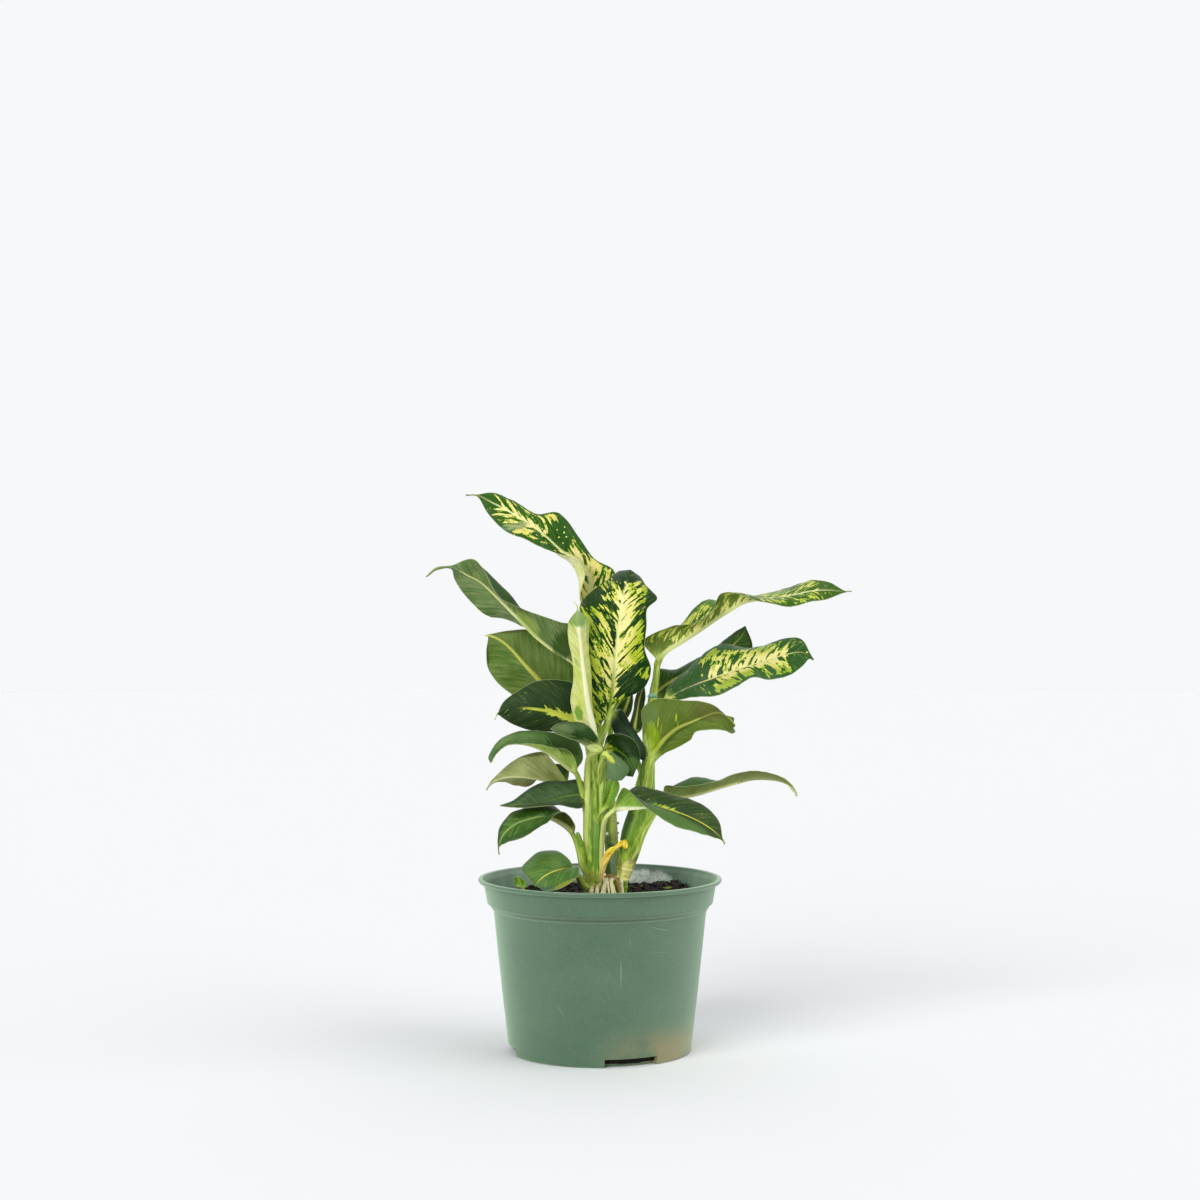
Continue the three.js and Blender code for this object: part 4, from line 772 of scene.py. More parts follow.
LEAF_LOOKS = {
    "leaf_01_top_left": leaf_look(
        VARIEGATED, streak=(4.8, 6.5), outer_cream=0.62, dots=0.9, cream="#d6cd6e", pale="#e6dc98",
        gold="#8a9f16", rim=1.6, seed=3.0, under="#f6f4c8", under_dark="#d8de8c", under_show=0.12,
        dark="#24500a", mid="#3f7a0c", slant=1.7,
        fields=(
            (-27, 349, 12, 8, 15, -25, -0.9),
            (-80, 370, 6, 13, 9, 0, -0.9),
            (-45, 356, 6, 14, 4, 35, 0.15),
            (-40, 343, 0, 14, 3, 35, -0.25),
        ),
        one_sided=True,
        patches=(
            (-59, 353.5, 0, 12, 2.6, 12, "#6c8560", 0.7),
            (-24.3, 349.7, 14, 0.5, 0.6, 0, "#dfe27a", 1),
            (-22.8, 346.8, 14, 0.5, 0.5, 0, "#dfe27a", 1),
            (-27.7, 346.5, 14, 0.5, 0.5, 0, "#dfe27a", 1),
            (-24, 353.4, 14, 0.4, 0.5, 0, "#dfe27a", 1),
            (-25, 342.6, 14, 0.6, 0.5, 0, "#dfe27a", 1),
            (-29, 351.6, 14, 0.4, 0.4, 0, "#dfe27a", 1),
        ),
    ),
    "leaf_02_left_upper": leaf_look(
        OLIVE, under="#80935e", under_dark="#4f6c36", under_rib="#d2d894", rib_width=(0.55, 0.25),
        dark="#2a451c", mid="#3a5726", seed=11.0,
        patches=(
            (-48, 287, -8, 11, 4, -50, "#9ab04e", 0.55),
            (-25, 273, -2, 7, 9, 0, "#33501a", 0.75),
            (-108, 323, -52, 14, 6, 0, "#5f764c", 0.9),
        ),
    ),
    "leaf_03_left_middle": leaf_look(
        OLIVE, under="#7a8f4e", under_dark="#4e6e2a", under_rib="#c9cc62", seed=17.0,
        patches=(
            # Painted shade: a dark brown strip where the upper edge folds over near the tip
            (-62, 283.4, -10, 14, 1.6, 0, "#4a4422", 0.6),
            (-77, 262, -15, 2.0, 14, 0, "#3a4020", 0.7),
        ),
    ),
    "leaf_04_left_dark": leaf_look(
        dark="#1a3312", mid="#30551c", amount=-0.42, rib="#c3cc48", cream="#bcc640", pale="#cdd25e",
        rib_boost=0.55, rib_reach=5.0, reach_end=0.62, rib_end=0.75, bloom=0.06, seed=23.0,
    ),
    "leaf_05_left_arching": leaf_look(
        dark="#3c6424", mid="#587a2e", rib="#a3b060", bloom=0.2, seed=29.0, rib_end=0.9,
        rib_width=(0.9, 0.5), under="#bccf74", under_dark="#8cab46",
        patches=((-25, 207, -20, 12, 5, -30, "#263f12", 0.7),),
    ),
    "leaf_06_left_brown": leaf_look(
        OLIVE, under="#c0ca8c", under_dark="#9ca262", under_rib="#d2d2a0", rib_width=(0.6, 0.3),
        dark="#27432c", seed=31.0,
        patches=(
            (-50, 200, -8, 16, 2.5, 0, "#4a4222", 0.65), (-50, 178, 4, 24, 2.0, 0, "#a98f5c", 0.5)
        ),
    ),
    "leaf_07_left_low": leaf_look(
        dark="#213a1a", mid="#3f6026", bloom=0.15, seed=37.0, rib="#7d9a3c", rib_width=(0.8, 0.5)
    ),
    "leaf_08_left_drooping": leaf_look(
        dark="#26480f", mid="#4a7220", rib="#88a058", bloom=0.06, seed=41.0,
        patches=((-44, 162, -20, 16, 3, 12, "#1d3606", 0.8),),
        under="#5f6d30", under_dark="#46561f",
    ),
    "leaf_09_resting": leaf_look(
        dark="#3a6320", mid="#587f2c", rib="#c6cb4e", rib_width=(1.0, 0.5), bloom=0.15, seed=43.0,
        under="#9fae4c",
        patches=(
            (-25, 112, -40, 12, 1.4, 22, "#a9ac3a", 0.45),
            # Painted shade: a dark blue-grey strip along the bottom of the blade
            (-38, 108.4, -45, 9, 1.6, 10, "#3f5e52", 0.6),
        ),
    ),
    "leaf_10_centre": leaf_look(
        VARIEGATED, rib_reach=7.0, rim=1.2, mid="#5c8a0a", gold="#93a80c", seed=5.0,
        rib_width=(1.9, 0.5), rib_foot="#869e30", rib_end=0.85,
        fields=(
            (20, 322, -2, 18, 6, 0, -0.9),
            (-6, 306, -8, 9, 7, 25, -0.9),
            (24, 244, -14, 16, 8, -30, -0.9),
            (37, 304, -12, 6, 8, 0, -0.9),
            # Painted shade: less cream beside the foot of the midrib, so it shows olive-yellow
            # there
            (3, 236, -14, 6, 14, 0, -0.35),
            (20, 285, -18, 8, 22, 0, 0.25),
        ),
    ),
    "leaf_11_pale": leaf_look(
        VARIEGATED, under="#e6e8a2", under_dark="#c3cf6a", under_show=0.25, rim=0.8, seed=7.0,
        under_rib="#eceec6", rib_width=(2.6, 1.2),
        patches=(
            (-15, 292, -30, 8, 6, 0, "#6b8f46", 0.85),
            (-8.2, 284, -30, 1.2, 10, 0, "#7c9a4c", 0.6),
            (-14.5, 227, -28, 2.6, 5, 10, "#5f9020", 0.85),
            (-16, 262, -28, 1.2, 3.5, 25, "#7fa04a", 0.6),
            (-19, 250, -28, 1.0, 3.0, 10, "#8cab52", 0.6),
        ),
    ),
    "leaf_12_dark_lobe": leaf_look(
        dark="#1f3d12", mid="#44661f", seed=47.0, bloom=0.15, stalk="#d4e480", rib_end=0.5,
        rib_width=(0.8, 0.4),
        patches=(
            (-9, 130, -4, 2.8, 22, 0, "#86a53a", 0.75),
            (-8, 204, -36, 9, 3.4, -30, "#cfdc8e", 0.9),
            # Painted soft highlight: a lighter grey-green patch on the lobe's left part
            (-26, 216, -46, 8, 4, 0, "#62744c", 0.6),
            (-9, 212, -34, 9, 6, 0, "#193a0c", 0.8),
        ),
    ),
    "leaf_13_round_dark": leaf_look(
        dark="#122a05", mid="#2c5208", amount=-0.42, rib_boost=0.34, cream="#a9b53a",
        pale="#c2c94c", rib_reach=8.0, reach_end=0.4, rib="#4a6a1c", rib_width=(0.8, 0.5),
        streak=(1.3, 14.0), seed=53.0, bloom=0.0,
        patches=((22, 191, -26, 7, 6, 0, "#4a6c30", 0.6),),
    ),
    "leaf_14_blue_green": leaf_look(
        dark="#0f2614", mid="#1d3c1c", amount=-0.5, bloom=0.1, seed=59.0,
        patches=((24, 206, 0, 5, 3, -45, "#35571c", 0.6),),
        rib="#3a5f40",
    ),
    "leaf_15_right_top": leaf_look(
        VARIEGATED, under_show=0.85, streak=(3.0, 5.5), outer_cream=0.6, under="#dbe07a",
        under_dark="#b4c84a", dark="#33560f", mid="#84a83c", rim=1.0, seed=61.0,
        fields=(
            (156, 311, -15, 9, 8, 0, -0.6),
            (40, 273, -8, 12, 7, -20, -0.3),
            (75, 303, 5, 7, 3, 0, -0.3),
            (126, 307, -15, 26, 7, 0, -0.2),
        ),
        patches=((75, 303, 5, 6, 2, 20, "#48701e", 0.7),),
    ),
    "leaf_16_right_middle": leaf_look(
        VARIEGATED, amount=0.16, rim=1.6, seed=67.0, bloom=0.12, slant=0.7, dark="#184808",
        mid="#3d7a12", rib_width=(0.9, 0.4), rib="#d3d08a",
        fields=(
            (57, 251, -2, 16, 14, 0, -0.8),
            (134, 268, -18, 7, 11, 0, -0.4),
            (92, 274, 4, 22, 3, 5, -0.7),
        ),
    ),
    "leaf_17_behind": leaf_look(dark="#203c0e", mid="#3a641a", seed=71.0),
    "leaf_18_right_curled": leaf_look(
        OLIVE, under="#5d702b", under_dark="#475c18", under_rib="#98a148", rib_width=(0.6, 0.25),
        seed=73.0,
        patches=(
            (34, 226, -20, 5, 8, 0, "#5d7440", 0.7),
            (36, 212, -20, 4, 10, 10, "#86a00c", 0.6),
            (39.4, 221, -24, 0.5, 3.5, -6, "#b9c634", 0.5),
            (41.4, 217, -24, 0.4, 3, -8, "#b4c238", 0.4),
            (37.2, 214, -24, 0.4, 3, -4, "#b4c238", 0.4),
            (51.5, 224.4, -24, 0.5, 2.4, -6, "#bfcb38", 0.6),
            (52.4, 220, -24, 0.3, 2.0, -10, "#b4c03c", 0.4),
            (74, 229, -30, 13, 6, 0, "#57522a", 0.55),
        ),
    ),
    "leaf_19_right_low": leaf_look(
        OLIVE, under="#8f9f5c", under_dark="#6a7c3e", under_rib="#c9c98c", dark="#3c6430",
        seed=79.0, rib_width=(0.8, 0.35),
        patches=((114, 184, -3, 24, 6, 0, "#76804f", 0.8),),
    ),
    "leaf_20_front_right": leaf_look(
        dark="#1e380e", mid="#38600f", rib="#cdd058", amount=-0.44, rib_boost=0.33, cream="#b4bf3a",
        pale="#c8cf50", reach_end=0.75, bloom=0.06, under="#98bc50",
        under_dark="#6a9430", under_rib="#e6e8be", rib_width=(0.9, 0.4), stalk="#cfd98c", seed=83.0,
        patches=((52, 154.5, -56, 24, 4, -26, "#577d3c", 0.6),),
    ),
    "leaf_21_small_green": leaf_look(
        OLIVE, under="#7d9c3c", under_dark="#668830", dark="#5f8a20", mid="#7ea030", rib="#8faa3c",
        seed=89.0,
    ),
    "leaf_22_new_shoot": leaf_look(
        OLIVE, under="#6fa02c", under_dark="#4d8020", rib_width=(0.4, 0.2), under_rib="#8fae4c",
        dark="#5c9420", mid="#74a832", seed=97.0,
    ),
    "leaf_23_middle_back": leaf_look(dark="#1f3f0e", mid="#325a14", seed=101.0),
    "leaf_24_hanging": leaf_look(dark="#24380e", mid="#3a5416", seed=103.0, under="#5a6a2c"),
    "leaf_25_hanging_lobe": leaf_look(
        dark="#426434", mid="#5f8040", amount=-0.42, rib_boost=0.4, cream="#b4bf3a", pale="#c8cf50",
        rib_reach=9.0, reach_end=0.5, rib="#c3cc48", rib_end=0.55, streak=(1.3, 11.0), seed=107.0,
        bloom=0.25,
    ),
}


def seen(right, height, depth):
    """The real point, in millimetres, of one that is laid out as seen from the front."""
    scale = 1 + depth / EYE_DISTANCE
    return Vector((right * scale, depth, EYE_HEIGHT + (height - EYE_HEIGHT) * scale))


def linear(code):
    """Linear colour of an sRGB hex value."""
    parts = [int(code[k : k + 2], 16) / 255 for k in (1, 3, 5)]
    return [p / 12.92 if p <= 0.04045 else ((p + 0.055) / 1.055) ** 2.4 for p in parts] + [1.0]


def clamp(value):
    """The value held between 0 and 1."""
    return min(max(value, 0.0), 1.0)


def smooth(value, low, high):
    """0 below low, 1 above high, and a soft step between them."""
    share = clamp((value - low) / (high - low))
    return share * share * (3 - 2 * share)


def on_curve(points, share):
    """Point and direction at a share of the spans of the smooth curve through the points."""
    spans = len(points) - 1
    place = clamp(share) * spans
    k = min(int(place), spans - 1)
    t = place - k
    start, end = points[k], points[k + 1]
    before = points[k - 1] if k > 0 else 2 * start - end
    after = points[k + 2] if k + 2 <= spans else 2 * end - start
    slope = end - before
    bend = 2 * before - 5 * start + 4 * end - after
    twist = 3 * start - before - 3 * end + after
    point = start + 0.5 * (slope * t + bend * t * t + twist * t**3)
    return point, 0.5 * (slope + 2 * bend * t + 3 * twist * t * t)


# ---------------------------------------------------------------- modelling


def deselect_all():
    """Deselects every object, because an operator acts on all that is selected."""
    for item in bpy.context.scene.objects:
        item.select_set(False)


def edit_all():
    """Opens the active piece in edit mode with all of it selected."""
    bpy.ops.object.mode_set(mode="EDIT")
    bpy.ops.mesh.select_all(action="SELECT")


def close_edit():
    """Turns the faces of the active piece outwards and leaves edit mode."""
    bpy.ops.mesh.select_all(action="SELECT")
    bpy.ops.mesh.normals_make_consistent(inside=False)
    bpy.ops.object.mode_set(mode="OBJECT")


def finish_piece(piece, material, slot, *nodes):
    """Gives the piece its material and its body, and hides the model's nodes that it stands for;
    slot is not used.
    """
    piece.data.materials.append(material)
    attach(piece, "root")
    if nodes:
        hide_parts(*nodes)
    return piece


def smooth_faces(piece, degrees):
    """Shades the piece smooth but for edges sharper than an angle."""
    deselect_all()
    piece.select_set(True)
    bpy.context.view_layer.objects.active = piece
    bpy.ops.object.shade_smooth_by_angle(angle=math.radians(degrees))


def wrapped_grid(name, rings, marks):
    """A closed skin: a flat grid whose columns are wrapped round rings of points, in millimetres.

    marks maps the name of a vertex attribute to its rings of values."""
    around, steps = len(rings[0]), len(rings) - 1
    deselect_all()
    bpy.ops.mesh.primitive_grid_add(x_subdivisions=around, y_subdivisions=steps, size=1)
    piece = bpy.context.object
    piece.name = name
    mesh = piece.data
    mesh.name = name
    places = [
        (round((v.co.y + 0.5) * steps), round((v.co.x + 0.5) * around) % around)
        for v in mesh.vertices
    ]
    for vertex, (row, column) in zip(mesh.vertices, places):
        vertex.co = rings[row][column] * MM
    for mark, values in marks.items():
        layer = mesh.attributes.new(mark, "FLOAT", "POINT")
        layer.data.foreach_set("value", [values[row][column] for row, column in places])
    edit_all()
    bpy.ops.mesh.remove_doubles(threshold=1e-6)
    bpy.ops.mesh.fill_holes(sides=0)
    close_edit()
    return piece


def leaf_rows(leaf):
    """Rib, edges, bulges and stalk radius of a leaf at its control rows, stalk first.

    Rows without edges of their own get narrow ones, turned as the nearest row that has them."""
    rows = []
    for right, height, depth, radius in leaf["stalk"]:
        rib = seen(right, height, depth)
        rows.append({"rib": rib, "radius": radius, "bulge": (0, 0), "blade": 0})
    last_radius = leaf["stalk"][-1][3]
    for k, (rib, *rest) in enumerate(leaf["blade"]):
        fade = 1 - k / (len(leaf["blade"]) - 1)
        row = {
            "rib": seen(*rib),
            "radius": TIP_RADIUS + (last_radius - TIP_RADIUS) * fade * fade,
            "bulge": (0, 0),
            "blade": 0 if k == 0 else 1,
        }
        if rest:
            row.update(left=seen(*rest[0]), right=seen(*rest[1]), bulge=(rest[2], rest[3]))
        rows.append(row)
    first = next(k for k, row in enumerate(rows) if "left" in row)
    side = (rows[first]["right"] - rows[first]["left"]).normalized()
    for k in range(first - 1, -1, -1):
        row = rows[k]
        along = (rows[k + 1]["rib"] - row["rib"]).normalized()
        side = (side - along * side.dot(along)).normalized()
        row["left"] = row["rib"] - side * row["radius"]
        row["right"] = row["rib"] + side * row["radius"]
    side = (rows[-2]["right"] - rows[-2]["left"]).normalized()
    rows[-1]["left"] = rows[-1]["rib"] - side * TIP_RADIUS
    rows[-1]["right"] = rows[-1]["rib"] + side * TIP_RADIUS
    return rows


def across_shares():
    """Places across a leaf from -1 to 1, closer together at the rib and at the margins."""
    half = [(k / SIDE_STEPS) ** 1.15 for k in range(1, SIDE_STEPS)] + [0.985, 1.0]
    return [-q for q in reversed(half)] + [0.0] + half


def leaf_ring(state, along, seed, distance):
    """One ring round a leaf and its distances from the rib, left edge to right edge.

    The upper face comes first and the underside follows, right to left."""
    rib, left, right = state["rib"], state["left"], state["right"]
    flat, radius = state["flat"], state["radius"]
    top, low, across = [], [], []
    for q in state["shares"]:
        share = abs(q)
        edge, bulge = (left, state["bulge"][0]) if q < 0 else (right, state["bulge"][1])
        side = -1 if q < 0 else 1
        span = edge - rib
        up = (side * span).cross(along).normalized()
        # The blade bulges between rib and margin, so it faces another way at each place
        run = span + up * (bulge * 4 * (1 - 2 * share))
        facing = right - left if q == 0 else side * run
        normal = facing.cross(along).normalized()
        # It waves towards its margin, and dips along its veins and over the midrib
        reach = share * span.length
        wave = noise.noise(Vector((distance * 0.07, q * 1.4, seed))) * BROAD_WAVE * share * share
        wave += noise.noise(Vector((distance * 0.21, q * 2, seed + 9))) * SHORT_WAVE * share**3
        crest = math.cos(2 * math.pi * (distance - 0.9 * reach) / VEIN_SPACING)
        between = smooth(share, 0.03, 0.2) * (1 - smooth(share, 0.8, 0.98))
        vein = -VEIN_DEPTH * max(crest, 0) ** 5 * between
        groove = -GROOVE_DEPTH * radius * math.exp(-((reach / (0.75 * radius)) ** 2))
        on_blade = rib + span * share + up * (bulge * 4 * share * (1 - share) + wave)
        # The stalk is a round, and flat is 0 on it and 1 on the blade
        turn = q * 0.4 * math.pi
        on_stalk = rib + span * abs(math.sin(turn))
        middle = on_stalk.lerp(on_blade, flat)
        half_blade = BLADE_HALF + (MARGIN_HALF - BLADE_HALF) * share
        half = radius * math.cos(turn) * (1 - flat) + half_blade * flat
        ridge = radius * max(0.0, 1 - (reach / (1.5 * radius)) ** 2) ** 0.7
        relief = flat * (vein + groove)
        top.append(middle + normal * (half + relief))
        low.append(middle - normal * (half + flat * (ridge - vein)))
        across.append(side * reach)
    return top + low[::-1], across + across[::-1]


def build_leaf(name, leaf):
    """A leaf with its stalk as one skin; its marks tell the material where on the leaf it is."""
    rows = leaf_rows(leaf)
    blade_start = len(leaf["stalk"])
    shares = across_shares()
    seed = LEAF_LOOKS[name]["seed"]
    ribs = [row["rib"] for row in rows]
    lefts = [row["left"] for row in rows]
    rights = [row["right"] for row in rows]
    bulges = [Vector(row["bulge"]) for row in rows]
    sizes = [Vector((row["radius"], row["blade"])) for row in rows]
    steps = (len(rows) - 1) * SPAN_STEPS
    points = [on_curve(ribs, k / steps) for k in range(steps + 1)]
    travel = [0.0]
    for (a, _), (b, _) in zip(points, points[1:]):
        travel.append(travel[-1] + (b - a).length)
    start = travel[blade_start * SPAN_STEPS]
    length = travel[-1] - start
    rings = []
    marks = {mark: [] for mark in LEAF_MARKS}
    for k, (rib, along) in enumerate(points):
        size = on_curve(sizes, k / steps)[0]
        state = {
            "rib": rib,
            "left": on_curve(lefts, k / steps)[0],
            "right": on_curve(rights, k / steps)[0],
            "bulge": on_curve(bulges, k / steps)[0],
            "flat": clamp(size[1]),
            "radius": max(size[0], TIP_RADIUS),
            "shares": shares,
        }
        distance = travel[k] - start
        ring, across = leaf_ring(state, along.normalized(), seed, distance)
        count = len(ring)
        widest = {True: max(across), False: -min(across)}
        rings.append(ring)
        marks["along"].append([distance] * count)
        marks["across"].append(across)
        marks["edge"].append([widest[a >= 0] - abs(a) for a in across])
        marks["share"].append([clamp(distance / length)] * count)
        marks["under"].append([0.0] * (count // 2) + [1.0] * (count - count // 2))
        marks["flat"].append([state["flat"]] * count)
    piece = wrapped_grid(name + "_blade", rings, marks)
    smooth_faces(piece, 50)
    return piece


def build_limb(name, rows, relief, sides, steps_per_span):
    """A stem, root or sheath: rounds along a curve. relief(along, turn) lifts its skin, mm."""
    path = [seen(*row[:3]) for row in rows]
    sizes = [Vector((row[3], row[4] if len(row) > 4 else row[3])) for row in rows]
    steps = (len(rows) - 1) * steps_per_span
    rings = []
    marks = {mark: [] for mark in LIMB_MARKS}
    turns = [2 * math.pi * i / sides for i in range(sides)]
    travel, last = 0.0, path[0]
    for k in range(steps + 1):
        centre, along = on_curve(path, k / steps)
        wide, deep = on_curve(sizes, k / steps)[0]
        along.normalize()
        travel += (centre - last).length
        last = centre
        across = (Vector((1, 0, 0)) - along * along.x).normalized()
        out = along.cross(across)
        ring = []
        for turn in turns:
            lift = relief(travel, turn)
            sideways = across * (math.cos(turn) * (wide + lift))
            ring.append(centre + sideways + out * (math.sin(turn) * (deep + lift)))
        rings.append(ring)
        marks["along"].append([travel] * sides)
        marks["side"].append([math.cos(turn) for turn in turns])
        marks["back"].append([math.sin(turn) for turn in turns])
    piece = wrapped_grid(name, rings, marks)
    smooth_faces(piece, 60)
    return piece


def rounded(corners, steps=4):
    """An outline of radius and height through corners that each have a rounding radius."""
    points = [Vector(corners[0][:2])]
    for before, here, after in zip(corners, corners[1:], corners[2:]):
        corner, size = Vector(here[:2]), here[2]
        back, on = Vector(before[:2]) - corner, Vector(after[:2]) - corner
        size = min(size, back.length * 0.49, on.length * 0.49)
        start, end = corner + back.normalized() * size, corner + on.normalized() * size
        for k in range(steps + 1):
            t = k / steps
            points.append(start * (1 - t) ** 2 + corner * (2 * t * (1 - t)) + end * t * t)
    points.append(Vector(corners[-1][:2]))
    return points


def turned_shell(name, profile, segments):
    """A solid of revolution: a circle whose edge is drawn out along the profile, then closed."""
    deselect_all()
    (radius, height), last = profile[0], profile[0]
    bpy.ops.mesh.primitive_circle_add(
        vertices=segments, radius=radius * MM, fill_type="NOTHING", location=(0, 0, height * MM)
    )
    piece = bpy.context.object
    piece.name = name
    piece.data.name = name
    bpy.ops.object.transform_apply(location=True)
    edit_all()
    for point in profile[1:]:
        (r0, z0), (r1, z1) = last, point
        bpy.ops.mesh.extrude_edges_move(TRANSFORM_OT_translate={"value": (0, 0, (z1 - z0) * MM)})
        bpy.ops.transform.resize(value=(r1 / r0, r1 / r0, 1), center_override=(0, 0, z1 * MM))
        last = point
    bpy.ops.mesh.fill_holes(sides=0)
    close_edit()
    return piece


def ring_sector(name, inner, outer, low, high, turn, half_width):
    """A block bent round the pot's axis; the front is turn 0 and turns go towards the right."""
    deselect_all()
    bpy.ops.mesh.primitive_cube_add(size=1)
    piece = bpy.context.object
    piece.name = name
    edit_all()
    bpy.ops.mesh.subdivide(number_cuts=11)
    bpy.ops.object.mode_set(mode="OBJECT")
    for vertex in piece.data.vertices:
        angle = math.radians(turn - 90 + 2 * half_width * vertex.co.x)
        reach = (inner + (outer - inner) * (vertex.co.y + 0.5)) * MM
        rise = (low + (high - low) * (vertex.co.z + 0.5)) * MM
        vertex.co = (reach * math.cos(angle), reach * math.sin(angle), rise)
    edit_all()
    close_edit()
    return piece


def combine(piece, other, operation):
    """Adds the other piece to this one or takes it away, and removes the other."""
    change = piece.modifiers.new("combine", "BOOLEAN")
    change.operation = operation
    change.solver = "EXACT"
    change.object = other
    deselect_all()
    bpy.context.view_layer.objects.active = piece
    piece.select_set(True)
    bpy.ops.object.modifier_apply(modifier=change.name)
    bpy.data.objects.remove(other)


# ---------------------------------------------------------------- materials


# What most nodes of a kind are set to here
USUAL_SETTINGS = {
    "Mix": {"data_type": "RGBA"},
    "MapRange": {"interpolation_type": "SMOOTHSTEP"},
}

# How strongly each noise moves the field that the cream of a leaf is cut from
STREAKS_PULL = 1.5
GRAIN_PULL = 0.9
FLECKS_PULL = 0.7
DRIFT_PULL = 0.9


def add_node(tree, kind, *values, out=0, **settings):
    """Adds a node with its settings and links, and returns one of its outputs.

    The values go in order to the inputs that the settings leave in use. None leaves an input as
    it is, and a hex value is a colour."""
    made = tree.nodes.new("ShaderNode" + kind)
    for name, value in {**USUAL_SETTINGS.get(kind, {}), **settings}.items():
        setattr(made, name, value)
    used = [socket for socket in made.inputs if socket.enabled]
    for socket, value in zip(used, values):
        if isinstance(value, bpy.types.NodeSocket):
            tree.links.new(value, socket)
        elif value is not None:
            socket.default_value = linear(value) if isinstance(value, str) else value
    if isinstance(out, str):
        return made.outputs[out]
    return [socket for socket in made.outputs if socket.enabled][out]


def new_material(name, roughness, ior=1.45, specular=0.5):
    """A material's shader, and the function that adds a node to the material."""
    material = bpy.data.materials.new(name)
    material.use_nodes = True
    shader = material.node_tree.nodes["Principled BSDF"]
    shader.inputs["Roughness"].default_value = roughness
    shader.inputs["IOR"].default_value = ior
    shader.inputs["Specular IOR Level"].default_value = specular
    return material, shader, functools.partial(add_node, material.node_tree)


def feed(node, name, value):
    """Links a value to a node's input of that name."""
    node.id_data.links.new(value, node.inputs[name])


def set_stops(ramp, stops):
    """Gives a colour ramp its stops, each a place and a hex value."""
    while len(ramp.elements) < len(stops):
        ramp.elements.new(0.5)
    for element, (place, code) in zip(ramp.elements, stops):
        element.position = place
        element.color = linear(code)


def per_mm(size):
    """The scale that gives a pattern this size, in millimetres, on a piece's own coordinates."""
    return 1 / (size * MM)


def inside_oval(add, place, oval, ragged):
    """1 inside an oval of a table and 0 outside it, with an edge that a noise breaks up."""
    right, height, depth, half_wide, half_high, degrees = oval
    middle = seen(right, height, depth) * MM
    lean = (0, -math.radians(degrees), 0)
    size = (half_wide * MM, 1.0, half_high * MM)
    local = add("Mapping", place, middle, lean, size, vector_type="TEXTURE")
    reach = add("VectorMath", local, operation="LENGTH")
    shift = add("Math", ragged, 0.5, operation="SUBTRACT")
    reach = add("Math", shift, 1.5, reach, operation="MULTIPLY_ADD")
    return add("MapRange", reach, 1.2, 0.8)



